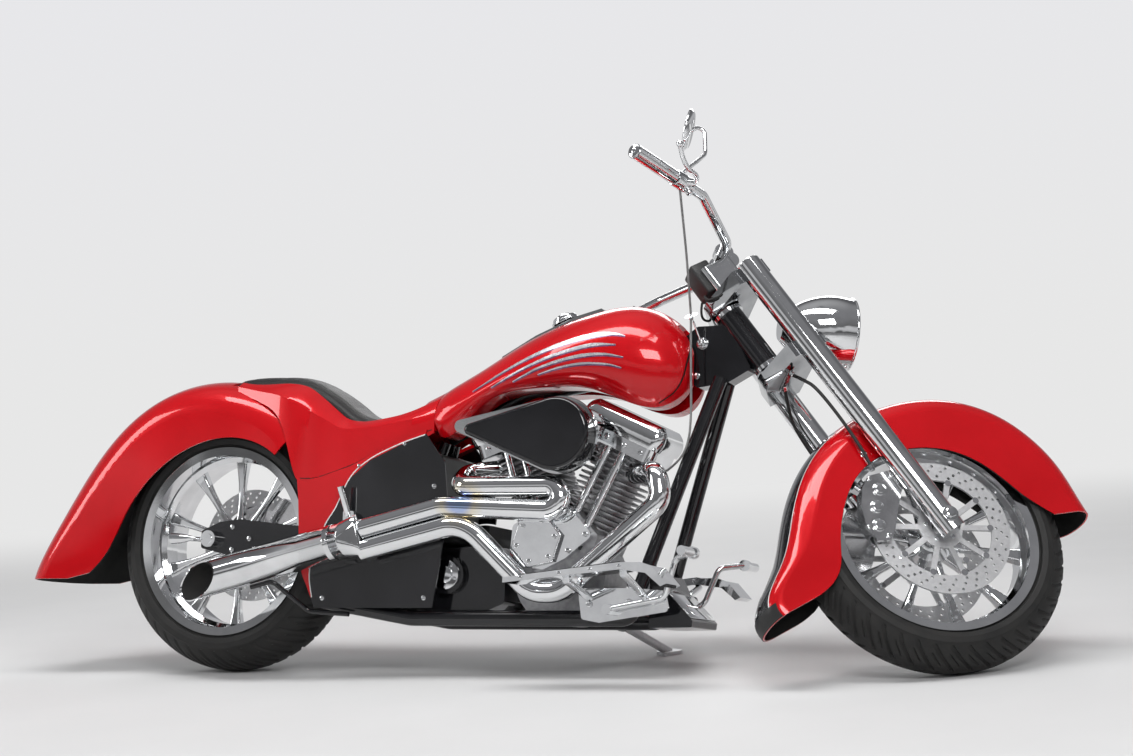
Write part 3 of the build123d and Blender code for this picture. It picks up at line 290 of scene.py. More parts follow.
cap_screw = (0.0055, 0.004, 16)
cover_form = bmesh.new()
bolt_circle(cover_form, (0.906, -0.1510, -0.017), 0.050, 6, 12, -1, *cap_screw)
for x, z in [(0.985, 0.050), (1.028, -0.002), (0.985, -0.040)]:
    fixing(cover_form, (x, -0.1380, z), (0, -1, 0), 0.0062, 0.006, 16)
bolt_circle(cover_form, (0.640, 0.2000, -0.060), 0.048, 5, 18, 1, *cap_screw)
bolt_circle(cover_form, (0.935, 0.2000, -0.093), 0.044, 5, 18, 1, *cap_screw)
settle(cover_form, "engine_cover_bolts", chrome, "root")
side_cover_form = bmesh.new()
fixing(side_cover_form, (0.650, -0.1035, -0.092), (0, -1, 0), 0.036, 0.008, 48, 0.2)
fixing(side_cover_form, (0.650, -0.1115, -0.092), (0, -1, 0), 0.020, 0.006, 48, 0.3)
bolt_circle(side_cover_form, (0.650, -0.1115, -0.092), 0.028, 5, 54, -1, 0.004, 0.003, 6)
settle(side_cover_form, "gearbox_side_cover", chrome, "root")
crank_at = Vector((0.935, 0, -0.093))
up_to_box = 0.348
rocker_form = bmesh.new()
for tilt, way in ((25.5, 1), (-19.5, -1)):
    head_form = bmesh.new()
    for x in (-0.070, -0.024, 0.024, 0.070):
        for y, side in ((-0.0990, -1), (0.0510, 1)):
            fixing(head_form, (way * x, y, up_to_box), (0, side, 0), 0.0055, 0.005, 16)
    cylinder_place = Matrix.Translation(crank_at) @ Matrix.Rotation(radians(tilt), 4, "Y")
    bmesh.ops.transform(head_form, matrix=cylinder_place, verts=head_form.verts)
    pour(head_form, rocker_form)
settle(rocker_form, "rocker_box_bolts", chrome, "root")

# Exhaust: two bent headers and one slash-cut silencer in heavy chrome over steel.
# Heat has left one blue spot with a straw edge where the rear header turns back, and the open tip is black with soot.
heated_chrome = coating("heated chrome", (0.72, 0.73, 0.74), (0.86, 0.87, 0.88), 1.0, 0.025, 0.09, 16.0, 0.02)
heat_tree = heated_chrome.node_tree
heat_place = add_node(heat_tree, "TexCoord")
heat_centre = add_node(heat_tree, "VectorMath", {1: parked @ Vector((0.728, -0.205, 0.078))}, operation="DISTANCE")
heat_wave = add_node(heat_tree, "TexNoise", {"Scale": 7.0})
heat_sum = add_node(heat_tree, "Math", {1: 0.04}, operation="MULTIPLY_ADD")
heat_tone = add_node(heat_tree, "ValToRGB")
for spot, colour in [(0.0, (0.34, 0.56, 0.82, 1)), (0.044, (0.46, 0.54, 0.80, 1)), (0.060, (0.82, 0.76, 0.62, 1)),
                     (0.085, (0.83, 0.84, 0.85, 1))]:
    heat_tone.color_ramp.elements.new(spot).color = colour
heat_tone.color_ramp.elements[0].color = (0.34, 0.56, 0.82, 1)
heat_tone.color_ramp.elements[-1].color = (0.83, 0.84, 0.85, 1)
link_up(heat_tree, (heat_place, "Object", heat_centre, 0), (heat_place, "Object", heat_wave, "Vector"),
        (heat_wave, "Fac", heat_sum, 0), (heat_centre, "Value", heat_sum, 2), (heat_sum, "Value", heat_tone, "Fac"),
        (heat_tone, "Color", heat_tree.nodes["Principled BSDF"], "Base Color"))
dress(heated_chrome, "exhaust_pipes")
dress(black_paint, "muffler_hanger")

soot = coating("soot", (0.004, 0.004, 0.004), (0.012, 0.011, 0.010), 0.0, 0.7, 0.95, 40.0, 0.5)
muffler_mouth = Vector((0.412, -0.190, -0.012))
muffler_back = Vector((-1, 0, -0.236)).normalized()
tip_start, tip_length, bore_length = 0.300, 0.300, 0.580
slash_at = Vector((-0.004, -0.190, -0.108))
slash_way = Vector((-cos(radians(60)), -sin(radians(60)), 0))


def copy_of(node):
    """A form with a construction node's surface, its doubled corners merged."""
    form = bmesh.new()
    form.from_mesh(nodes[node].data)
    bmesh.ops.remove_doubles(form, verts=form.verts, dist=1e-6)
    return form


def cut_off(form, at, way, near=0.0):
    """Cuts a form at a plane, drops what lies beyond it, and returns the edges of the cut."""
    cut = bmesh.ops.bisect_plane(form, geom=form.verts[:] + form.edges[:] + form.faces[:], dist=near, plane_co=at,
                                 plane_no=way, clear_outer=True)
    return [edge for edge in cut["geom_cut"] if isinstance(edge, bmesh.types.BMEdge)]


def silencer_pipe(radius, start, length, segments=64, capped=False):
    """A round form along the silencer, from a distance behind its mouth."""
    form = bmesh.new()
    bmesh.ops.create_cone(form, cap_ends=capped, segments=segments, radius1=radius, radius2=radius, depth=length,
                          matrix=aimed(muffler_mouth + muffler_back * (start + length / 2), muffler_back))
    return form


muffler_form = copy_of("muffler")
bmesh.ops.transform(muffler_form, matrix=parked.inverted(), verts=muffler_form.verts)
cut_off(muffler_form, muffler_mouth + muffler_back * tip_start, muffler_back)
tip_form = silencer_pipe(0.0445, tip_start, tip_length, 128)
cut_off(tip_form, slash_at, slash_way)
bmesh.ops.recalc_face_normals(tip_form, faces=tip_form.faces)
if sum(face.normal.dot(face.calc_center_median() - slash_at) for face in tip_form.faces) < 0:
    bmesh.ops.reverse_faces(tip_form, faces=tip_form.faces)
bmesh.ops.solidify(tip_form, geom=tip_form.faces[:], thickness=0.003)
pour(tip_form, muffler_form)
muffler_plated = settle(muffler_form, "muffler_plated", chrome, "root")
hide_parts("muffler")
bore_form = silencer_pipe(0.0408, 0, bore_length, capped=True)
cut_off(bore_form, slash_at, slash_way)
bmesh.ops.solidify(bore_form, geom=bore_form.faces[:], thickness=0.0003)
settle(bore_form, "muffler_soot", soot, "root")
clamp_form = silencer_pipe(0.0452, 0.023, 0.014)
bmesh.ops.solidify(clamp_form, geom=clamp_form.faces[:], thickness=0.0012)
fixing(clamp_form, muffler_mouth + muffler_back * 0.03 + Vector((0, -0.0455, 0)), (0, -1, 0), 0.006, 0.007, 16)
settle(clamp_form, "muffler_clamp", chrome, "root")

# Drive: a toothed rubber belt on two alloy pulleys on the left, with the clutch behind the polished cover.
# The belt is moulded over cords, and its outer face is ground to a dull finish.
rubber = coating("black rubber", (0.012, 0.012, 0.012), (0.026, 0.026, 0.026), 0.0, 0.55, 0.75, 30.0, 0.3)
dress(rubber, "drive_belt")
polished = coating("polished aluminium", (0.60, 0.60, 0.61), (0.78, 0.78, 0.79), 1.0, 0.08, 0.2, 22.0, 0.05)
dress(polished, "rear_pulley")

# Rear wheel: a cast and chromed ten spoke wheel under a wide radial tyre, with a drilled disc on the left.
# The tyre is moulded in black rubber; its curved water grooves alternate from side to side.
dress(chrome, "rear_rim")
tyre_rubber = coating("tyre rubber", (0.008, 0.008, 0.008), (0.018, 0.017, 0.016), 0.0, 0.5, 0.72, 24.0, 0.35)
tread_pitches = 44
pitch_columns = 10
tread_rows = 30
long_groove_depth, short_groove_depth = 0.0055, 0.004


def mould_tyre(name, outer, width, crown, rim_width, body, place, node):
    """Spins a tyre's section round the axle and presses the water grooves into its tread."""
    half = width / 2
    bead = rim_width / 2 - 0.0055
    shoulder = 0.92 * half
    shoulder_out = outer - crown + sqrt(crown ** 2 - shoulder ** 2)
    lip_out, toe_out = 0.242, 0.231
    section = []
    for row in range(tread_rows + 1):
        y = -shoulder + 2 * shoulder * row / tread_rows
        section.append((outer - crown + sqrt(crown ** 2 - y ** 2), y))
    wall = [(0.86, 0.985), (0.72, 1.0), (0.55, 1.0), (0.5, 1.008), (0.45, 1.0), (0.3, 0.985), (0.16, 0.96)]
    toe = [(0.1, 0.965), (0.04, 0.93)]
    left_wall = [(lip_out + (shoulder_out - lip_out) * rise, half * swell) for rise, swell in wall]
    left_wall += [(lip_out + (shoulder_out - lip_out) * rise, bead + (half - bead) * rise * 2) for rise, swell in toe]
    section += left_wall + [(lip_out, bead), (toe_out, bead), (toe_out, -bead), (lip_out, -bead)]
    section += [(out, -y) for out, y in reversed(left_wall)]
    form = bmesh.new()
    corners = [form.verts.new((0, y, out)) for out, y in section]
    sides = [form.edges.new(ends) for ends in zip(corners, corners[1:] + corners[:1])]
    bmesh.ops.spin(form, geom=corners + sides, cent=(0, 0, 0), axis=(0, 1, 0), angle=2 * pi,
                   steps=tread_pitches * pitch_columns, use_merge=True)
    bmesh.ops.recalc_face_normals(form, faces=form.faces)
    column_turn = 2 * pi / (tread_pitches * pitch_columns)
    for corner in form.verts:
        x, y, z = corner.co
        out = sqrt(x * x + z * z)
        if out < shoulder_out - 0.001:
            continue
        turn = atan2(x, z)
        spread = abs(y) / half
        shift = pitch_columns // 2 if y > 0 else 0
        column = (round(turn / column_turn) + shift) % pitch_columns
        if 0.10 < spread < 0.90 and column in (0, 1):
            out -= long_groove_depth
        elif 0.35 < spread < 0.70 and column == 5:
            out -= short_groove_depth
        turn += column_turn * pitch_columns * 1.5 * spread ** 1.5
        corner.co = (out * sin(turn), y, out * cos(turn))
    piece = settle(form, name, tyre_rubber, body, place, 28.0)
    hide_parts(node)


mould_tyre("rear_tyre_moulded", 0.3284, 0.190, 0.104, 0.175, "rear_wheel", parked, "rear_tyre")

steel = coating("brushed steel", (0.60, 0.60, 0.61), (0.68, 0.68, 0.69), 0.85, 0.42, 0.5, 150.0, 0.08)
holes_round, hole_radius, hole_depth = 30, 0.0036, 0.012


def drill_disc(name, node, body, place, outer, middles, first_arm):
    """A copy of a disc node with its ring drilled through by cutters, and its bobbins set in."""
    piece = settle(copy_of(node), name, steel, body, Matrix.Identity(4), 30.0)
    drill_form = bmesh.new()
    bobbin_form = bmesh.new()
    for middle in middles:
        for number in range(holes_round):
            for inward, shift in ((0.0085, 0.0), (0.0205, 0.33), (0.0325, 0.66)):
                turn = 2 * pi * (number + shift) / holes_round
                spot = Vector((cos(turn), 0, sin(turn))) * (outer - inward) + Vector((0, middle, 0))
                across = place @ Matrix.Translation(spot) @ Matrix.Rotation(pi / 2, 4, "X")
                bmesh.ops.create_cone(drill_form, cap_ends=True, segments=10, radius1=hole_radius,
                                      radius2=hole_radius, depth=hole_depth, matrix=across)
        bolt_circle(bobbin_form, (0, middle - 0.0045, 0), outer - 0.046, 10, first_arm, 1, 0.0075, 0.009, 20, 0.15)
    drills = new_object(name + " drills", mesh_from(drill_form, name + " drills"))
    cut = piece.modifiers.new("holes", "BOOLEAN")
    cut.operation = "DIFFERENCE"
    cut.solver = "EXACT"
    cut.object = drills
    bpy.context.view_layer.update()
    drilled = bpy.data.meshes.new_from_object(piece.evaluated_get(bpy.context.evaluated_depsgraph_get()))
    piece.modifiers.clear()
    piece.data = drilled
    bpy.data.objects.remove(drills)
    settle(bobbin_form, name + "_bobbins", chrome, body, place)
    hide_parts(node)


drill_disc("rear_disc_drilled", "rear_disc", "rear_wheel", parked, 0.146, (0.0628,), 0)
hub_form = bmesh.new()
bolt_circle(hub_form, (0, 0.1025, 0), 0.090, 5, 36, 1, 0.006, 0.005, 16)
right_squash = 0.92
for number in range(5):
    turn = radians(36 + 72 * number)
    fixing(hub_form, (0.036 * cos(turn), -0.0600, 0.036 * sin(turn) * right_squash), (0, -1, 0), 0.006, 0.006, 16)
settle(hub_form, "rear_hub_bolts", chrome, "rear_wheel")
dress(polished, "rear_caliper")

# Rear fender: two pressings of sheet steel welded along the edges, in candy red under thick clear lacquer.
# Its faces towards the wheel are lined in black as painted shade, and a bullet lamp stands on each side of the axle.
red_paint = coating("candy red paint", (0.50, 0.0012, 0.0045), (0.60, 0.0028, 0.0080), 0.15, 0.20, 0.26, 5.0, 0.03,
                    0.8)
dress(red_paint, "rear_fender")


def inner_face_of(node, name, finish, body, keep, lift=0.0006):
    """Makes a thin lining from the faces of a node that the test keeps, stood off its surface."""
    form = copy_of(node)
    bmesh.ops.recalc_face_normals(form, faces=form.faces)
    back = parked.inverted()
    turn = back.to_3x3()
    gone = [f for f in form.faces if not keep(back @ f.calc_center_median(), turn @ f.normal)]
    bmesh.ops.delete(form, geom=gone, context="FACES")
    form.normal_update()
    for corner in form.verts:
        corner.co = corner.co + corner.normal * lift
    settle(form, name, finish, body, Matrix.Identity(4), 40.0)


# This black lining on the fenders' faces towards the wheel is painted shade.
painted_shade_lining = coating("black painted shade lining", (0.006, 0.006, 0.006), (0.016, 0.016, 0.015), 0.0, 0.5, 0.8, 60.0, 0.7)


def faces_rear_axle(spot, way):
    """True on the side of the rear fender's wall that looks at the wheel."""
    out = Vector((spot.x, 0, spot.z))
    if out.length < 0.30 and abs(spot.y) > 0.12:
        return way.y * spot.y < 0 and abs(way.y) > 0.7
    return way.dot(out.normalized()) < -0.3 or (way.y * spot.y < 0 and abs(way.y) > 0.5)


inner_face_of("rear_fender", "rear_fender_painted_shade", painted_shade_lining, "root", faces_rear_axle)
dress(chrome, "rear_lamps")

# Body: the tub between fender and tank, beaten from sheet with a raised rim round the seat, and two side skirts.
# The skirts are screwed on below a thin shadow joint, and a white line is striped along their lower edge.
dress(red_paint, "side_skirts")
dress(black_paint, "side_panels")
satin_black = coating("satin black paint", (0.010, 0.010, 0.010), (0.024, 0.024, 0.024), 0.0, 0.34, 0.5, 14.0, 0.2)
dress(satin_black, "oil_tank")
shell_rows = [
    # x, half width, top at the middle, sagitta of the top, lower edge, ceiling over the wheel
    (0.040, 0.1060, 0.428, 0.034, 0.372, 0.372), (0.108, 0.1200, 0.424, 0.046, 0.352, 0.352),
    (0.182, 0.1340, 0.425, 0.064, 0.300, 0.312), (0.240, 0.1395, 0.416, 0.080, 0.150, 0.268),
    (0.290, 0.1395, 0.380, 0.070, 0.150, 0.212), (0.325, 0.1370, 0.349, 0.058, 0.153, 0.200),
    (0.360, 0.1330, 0.323, 0.050, 0.152, 0.200), (0.405, 0.1270, 0.315, 0.044, 0.160, 0.200),
    (0.463, 0.1200, 0.324, 0.046, 0.190, 0.220), (0.532, 0.1130, 0.341, 0.052, 0.218, 0.240),
    (0.6055, 0.1045, 0.3725, 0.072, 0.256, 0.262),
]
seat_rows = [
    # x, half width, top at the middle, sagitta of the top, bottom
    (0.004, 0.060, 0.424, 0.012, 0.402), (0.060, 0.084, 0.429, 0.020, 0.402), (0.130, 0.088, 0.428, 0.020, 0.392),
    (0.190, 0.088, 0.424, 0.018, 0.372), (0.235, 0.088, 0.413, 0.017, 0.346), (0.275, 0.088, 0.394, 0.016, 0.324),
    (0.315, 0.088, 0.369, 0.016, 0.300), (0.350, 0.088, 0.342, 0.016, 0.286), (0.385, 0.088, 0.320, 0.015, 0.280),
    (0.430, 0.088, 0.306, 0.014, 0.272), (0.465, 0.087, 0.311, 0.014, 0.276), (0.505, 0.084, 0.323, 0.014, 0.284),
    (0.560, 0.072, 0.338, 0.012, 0.306),
]
seat_clearance = 0.003
hollow_end, hollow_fade = 0.548, 0.014


def along_rows(rows, share):
    """Values a share of the way along a table, eased between its rows."""
    spot = share * (len(rows) - 1)
    row = min(int(spot), len(rows) - 2)
    part = spot - row
    before, start, end, after = (rows[max(row - 1, 0)], rows[row], rows[row + 1], rows[min(row + 2, len(rows) - 1)])
    return [0.5 * (2 * b + (c - a) * part + (2 * a - 5 * b + 4 * c - d) * part ** 2
                   + (3 * b - a - 3 * c + d) * part ** 3) for a, b, c, d in zip(before, start, end, after)]


def row_at(rows, x):
    """The eased values of a table at a distance along the machine."""
    low, high = 0.0, 1.0
    for step in range(24):
        share = (low + high) / 2
        if along_rows(rows, share)[0] < x:
            low = share
        else:
            high = share
    return along_rows(rows, (low + high) / 2)


def crown_height(half, top, crest, y):
    """Height of a circular crown at a distance from the middle."""
    radius = (half ** 2 + crest ** 2) / (2 * crest)
    return top - radius + sqrt(max(radius ** 2 - min(abs(y), half) ** 2, 0.0))


def shell_section(x):
    """The closed outline of the tub at x: flank, crown, seat hollow, crown, flank, and back along the inside."""
    x, half, top, crest, low, ceiling = row_at(shell_rows, x)
    seat_half, *_, seat_low = row_at(seat_rows, min(max(x, seat_rows[0][0]), seat_rows[-1][0]))[1:]
    rim = seat_half + seat_clearance
    fade = min(max((x - hollow_end) / hollow_fade, 0.0), 1.0)
    floor = max(seat_low - seat_clearance, ceiling + 0.004)
    rim_top = crown_height(half, top, crest, rim)
    floor = floor + (rim_top - 0.004 - floor) * fade
    outer = [(-half, low + (top - crest - low) * step / 4) for step in range(4)]
    for step in range(9):
        y = -half + (half - rim - 0.004) * step / 8
        outer.append((y, crown_height(half, top, crest, y)))
    outer += [(-rim - 0.001, rim_top - 0.0005), (-rim, rim_top - 0.004)]
    middle = []
    for step in range(9):
        y = -rim + 2 * rim * step / 8
        crown = crown_height(half, top, crest, y)
        middle.append((y, floor + (crown - floor) * fade))
    right = outer + middle[:4]
    points = right + [middle[4]] + [(-y, z) for y, z in reversed(right)]
    wall = 0.004
    inside = [(half - wall, low), (half - wall, ceiling), (0, ceiling), (wall - half, ceiling), (wall - half, low)]
    return points + inside


shell_stations = 96
shell_length = shell_rows[-1][0] - shell_rows[0][0]
section_size = len(shell_section(0.3))
shell_form = bmesh.new()
bmesh.ops.create_grid(shell_form, x_segments=shell_stations, y_segments=section_size, size=0.5)
for corner in shell_form.verts:
    x = shell_rows[0][0] + (corner.co.x + 0.5) * shell_length
    y, z = shell_section(x)[round((corner.co.y + 0.5) * section_size) % section_size]
    corner.co = (x, y, z)
bmesh.ops.remove_doubles(shell_form, verts=shell_form.verts, dist=1e-6)
bmesh.ops.holes_fill(shell_form, edges=[e for e in shell_form.edges if e.is_boundary], sides=0)
bmesh.ops.recalc_face_normals(shell_form, faces=shell_form.faces)
body_shell = settle(shell_form, "body_shell", red_paint, "root", parked, 38.0)
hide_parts("seat_base")

white_stripe = coating("white striping", (0.62, 0.62, 0.62), (0.74, 0.74, 0.74), 0.0, 0.25, 0.35, 30.0, 0.02, 1.0)
shadow_joint = coating("shadow joint", (0.004, 0.002, 0.002), (0.008, 0.003, 0.003), 0.0, 0.6, 0.8, 30.0, 0.1)


def surface_of(*names):
    """What a stripe is laid on: the faces of construction nodes and of pieces made here."""
    pool = bmesh.new()
    for name in names:
        pool.from_mesh(nodes[name].data if name in nodes else bpy.data.objects[name].data)
    surface = BVHTree.FromBMesh(pool)
    pool.free()
    return surface


def lay_on(form, place, lift, way_of, surface):
    """Presses a thin form along a direction against a surface, and stands it off by a hair."""
    back = place.inverted()
    turn = place.to_3x3()
    lost = []
    for corner in form.verts:
        way = turn @ way_of(corner.co)
        spot, normal, face, reach = surface.ray_cast(place @ corner.co, way)
        if spot is None:
            lost.append(corner)
            continue
        if normal.dot(way) > 0:
            normal = -normal
        corner.co = back @ (spot + normal * lift)
    bmesh.ops.delete(form, geom=lost, context="VERTS")


def ribbon(form, rows, start_at, columns=60, lanes=2):
    """Adds a flat band through rows of x, z and width in a plane beside the machine."""
    made = bmesh.ops.create_grid(form, x_segments=columns, y_segments=lanes, size=0.5)["verts"]
    for corner in made:
        share = corner.co.x + 0.5
        x, z, width = along_rows(rows, share)
        back_x, back_z = along_rows(rows, max(share - 0.01, 0.0))[:2]
        next_x, next_z = along_rows(rows, min(share + 0.01, 1.0))[:2]
        way = Vector((next_x - back_x, next_z - back_z)).normalized()
        reach = corner.co.y * width
        corner.co = (x - way.y * reach, start_at, z + way.x * reach)


def finish_band(form, name, finish, body, place):
    """Gives laid bands the thickness of their paint, and settles them as a piece."""
    bmesh.ops.recalc_face_normals(form, faces=form.faces)
    bmesh.ops.solidify(form, geom=form.faces[:], thickness=0.0002)
    settle(form, name, finish, body, place, 60.0)


def stripe_pair(name, finish, bands, place, body, lift, *names, start=0.4, columns=60, lanes=2):
    """Lays the same bands on the right and on the left side."""
    surface = surface_of(*names)
    form = bmesh.new()
    for side in (-1, 1):
        part = bmesh.new()
        for rows in bands:
            ribbon(part, rows, side * start, columns, lanes)
        lay_on(part, place, lift, lambda spot: Vector((0, -side, 0)), surface)
        pour(part, form)
    finish_band(form, name, finish, body, place)


def even_band(width, *spots):
    """Rows for a band of one width through spots at x and z."""
    return [(x, z, width) for x, z in spots]


stripe_width, joint_width = 0.0028, 0.0022
skirt_stripe = even_band(stripe_width, (0.600, 0.2475), (0.532, 0.2270), (0.450, 0.1920), (0.397, 0.1490),
                         (0.3585, 0.0750), (0.3265, 0.0240), (0.2910, -0.0760), (0.2990, -0.1480))
stripe_pair("skirt_stripe", white_stripe, [skirt_stripe], parked, "root", 0.0005, "side_skirts", "side_panels")
skirt_joint = even_band(joint_width, (0.600, 0.2640), (0.560, 0.2500), (0.509, 0.2300), (0.446, 0.2030),
                        (0.377, 0.1740), (0.300, 0.1500), (0.252, 0.1490))
stripe_pair("skirt_joint", shadow_joint, [skirt_joint], parked, "root", 0.0004, "side_skirts", "body_shell")
screw_form = bmesh.new()
fixings_both_sides(screw_form, [(0.420, 0.176), (0.545, 0.226)], 0.140, 0.0045, 0.002, 16)
fixings_both_sides(screw_form, [(0.330, -0.150), (0.610, -0.150), (0.630, 0.120)], 0.140, 0.006, 0.003, 16)
settle(screw_form, "skirt_screws", chrome, "root")

# Seat: moulded foam on a thin pan, covered in black leather that is ribbed across and stitched down each side.
# The cover is stretched over the foam's crown and tucked in where it meets the rim of the tub.
leather = coating("seat leather", (0.008, 0.008, 0.008), (0.018, 0.017, 0.017), 0.0, 0.36, 0.5, 90.0, 0.6)
seat_columns, seat_ribs = 80, 17
seam_line, stitch_line, channel_depth = 0.70, 0.74, 0.0024


def seat_crown(top, crest, side):
    """Height of the cover at a share of the half width, rolling over at the edge."""
    return top - crest * side ** 2 - 0.008 * side ** 8


seat_form = bmesh.new()
bmesh.ops.create_cube(seat_form, size=2.0)
for axis, cuts in ((0, seat_columns - 1), (1, 39), (2, 5)):
    along = [e for e in seat_form.edges if abs(e.verts[0].co[axis] - e.verts[1].co[axis]) > 1]
    bmesh.ops.subdivide_edges(seat_form, edges=along, cuts=cuts, use_grid_fill=True)
for corner in seat_form.verts:
    share = (corner.co.x + 1) / 2
    side = corner.co.y
    lift = (corner.co.z + 1) / 2
    x, half, top, crest, low = along_rows(seat_rows, share)
    end_pull = min(1.0, min(share, 1 - share) / 0.04)
    end_pull = sqrt(max(0.0, 1 - (1 - end_pull) ** 2))
    seam_near = min(abs(abs(side) - seam_line) / 0.03, 1.0)
    channel = 0.0
    if abs(side) < seam_line:
        ribs = (share * seat_ribs) % 1.0
        channel = channel_depth * (1 - min(min(ribs, 1 - ribs) / 0.10, 1.0)) ** 2
    height = seat_crown(top, crest, side) - channel_depth * (1 - seam_near) ** 2 - channel
    height -= (1 - end_pull) * (top - low) * 0.45
    z = low + (height - low) * lift
    bulge = 1.0 - 0.03 * (2 * lift - 1) ** 2
    corner.co = (x, side * half * bulge, z)
bmesh.ops.smooth_vert(seat_form, verts=seat_form.verts, factor=0.3, use_axis_x=True, use_axis_y=True, use_axis_z=True)
bmesh.ops.recalc_face_normals(seat_form, faces=seat_form.faces)
seat_cushion = settle(seat_form, "seat_cushion", leather, "root", parked, 60.0)
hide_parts("seat")

thread = coating("seat thread", (0.10, 0.10, 0.10), (0.18, 0.18, 0.18), 0.0, 0.6, 0.8, 200.0, 0.4)
stitch_form = bmesh.new()
stitch_count = 104
for side in (-1, 1):
    for number in range(stitch_count):
        share = 0.04 + 0.92 * number / (stitch_count - 1)
        x, half, top, crest, low = along_rows(seat_rows, share)
        next_x, _, next_top = along_rows(seat_rows, min(share + 0.004, 1.0))[:3]
        tilt = atan2(next_top - top, next_x - x)
        at = (x, side * stitch_line * half, seat_crown(top, crest, stitch_line) - 0.0003)
        place = (Matrix.Translation(at) @ Matrix.Rotation(-tilt, 4, "Y")
                 @ Matrix.Diagonal((2.6, 0.8, 0.7, 1)))
        bmesh.ops.create_icosphere(stitch_form, subdivisions=1, radius=0.001, matrix=place)
settle(stitch_form, "seat_stitches", thread, "root")

# Fuel tank: two beaten halves welded along the tunnel, in the same red, with a plated console along its top.
# Four tapering silver streaks with a lilac edge run back from its widest part, and a dark line crosses its nose.
dress(red_paint, "fuel_tank")
dress(chrome, "tank_dash")
silver_streak = coating("silver streak", (0.50, 0.50, 0.54), (0.72, 0.72, 0.75), 0.55, 0.22, 0.32, 60.0, 0.02, 1.0)
lilac_edge = coating("lilac edge", (0.11, 0.05, 0.12), (0.20, 0.11, 0.22), 0.3, 0.22, 0.32, 60.0, 0.02, 1.0)
streak_lines = [
    [(0.716, 0.352, 0.0012), (0.800, 0.394, 0.0050), (0.880, 0.428, 0.0080), (0.960, 0.455, 0.0110),
     (1.030, 0.470, 0.0120), (1.085, 0.473, 0.0070), (1.120, 0.466, 0.0010)],
    [(0.770, 0.358, 0.0012), (0.850, 0.394, 0.0045), (0.925, 0.421, 0.0070), (0.990, 0.438, 0.0090),
     (1.045, 0.447, 0.0080), (1.100, 0.445, 0.0010)],
    [(0.830, 0.369, 0.0012), (0.900, 0.396, 0.0045), (0.965, 0.413, 0.0065), (1.025, 0.422, 0.0075),
     (1.075, 0.422, 0.0050), (1.120, 0.414, 0.0010)],
    [(0.900, 0.382, 0.0012), (0.960, 0.396, 0.0035), (1.020, 0.402, 0.0050), (1.080, 0.398, 0.0035),
     (1.115, 0.389, 0.0010)],
]
streak_backs = [[(x, z - 0.0016, width + 0.0034) for x, z, width in line] for line in streak_lines]
for name, finish, lines, lift in [
    ("tank_streak_backs", lilac_edge, streak_backs, 0.0003), ("tank_streaks", silver_streak, streak_lines, 0.0007),
]:
    stripe_pair(name, finish, lines, parked, "root", lift, "fuel_tank", columns=70, lanes=4)
nose_line = even_band(joint_width, (1.166, 0.548), (1.208, 0.520), (1.238, 0.490), (1.250, 0.455), (1.252, 0.415),
                      (1.246, 0.370), (1.226, 0.334), (1.190, 0.308))
stripe_pair("tank_pinstripe", shadow_joint, [nose_line], parked, "root", 0.0004, "fuel_tank")
cap_form = bmesh.new()
cap_spot = Vector((0.905, 0, 0.5445))
cap_way = Vector((-0.36, 0, 0.933))
for radius, height, low in ((0.036, 0.006, 0.0), (0.031, 0.012, 0.004), (0.020, 0.016, 0.006)):
    fixing(cap_form, cap_spot + cap_way * (low - 0.014), cap_way, radius, height, 40, 0.3)
settle(cap_form, "tank_cap", chrome, "root")

# Fork: two plated legs in two plated trees, with the stem between them and a bearing cup at each end of the neck.
# The legs pass outside the trees, which grip them from within; each is capped by a turned plug.
dress(chrome, "fork_legs")
dress(steel, "front_axle")
stem_up = Vector((-0.6046, 0, 0.7965))
stem_foot = Vector((1.76719, 0, -0.04565))
fork_ahead = Vector((0.7965, 0, 0.6046))
steered = (parked @ Matrix.Translation(stem_foot) @ Matrix.Rotation(radians(40), 4, stem_up)
           @ Matrix.Translation(-stem_foot))
front_place = steered @ Matrix.Translation((1.811, 0, -0.0124))
leg_middle = 0.118
# The trees' plating is a darker copy of the chrome: painted shade that dims what they mirror.
shaded_tree_chrome = coating("chrome darkened as painted shade", (0.34, 0.35, 0.36), (0.46, 0.47, 0.48), 1.0, 0.04, 0.12, 16.0, 0.02)


def on_fork(up, ahead, y):
    """A point on the fork: height along the steering axis, distance ahead of it, and Y."""
    return stem_foot + stem_up * up + fork_ahead * ahead + Vector((0, y, 0))


def trim_sides(node, name, finish, reach):
    """Makes a copy of a steering node cut off square at one distance on both sides, and closed again."""
    form = copy_of(node)
    for side in (-1, 1):
        rim = cut_off(form, steered @ on_fork(0.6, 0, side * reach), steered.to_3x3() @ Vector((0, side, 0)), 1e-6)
        bmesh.ops.holes_fill(form, edges=rim, sides=0)
    bmesh.ops.recalc_face_normals(form, faces=form.faces)
    piece = settle(form, name, finish, "steering", Matrix.Identity(4), 30.0)
    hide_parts(node)


trim_sides("top_tree", "top_tree_plated", shaded_tree_chrome, leg_middle - 0.004)
trim_sides("lower_tree", "lower_tree_plated", shaded_tree_chrome, leg_middle - 0.004)
plug_form = bmesh.new()
for side in (-1, 1):
    plug_at = on_fork(0.769, 0.055, side * leg_middle)
    fixing(plug_form, plug_at, stem_up, 0.0265, 0.004, 48)
    fixing(plug_form, plug_at + stem_up * 0.004, stem_up, 0.013, 0.006, 6)
    for height in (0.535, 0.517, 0.759, 0.741):
        fixing(plug_form, on_fork(height, 0.0835, side * 0.070), fork_ahead, 0.0060, 0.006, 16)
settle(plug_form, "fork_plugs", chrome, "steering", steered)

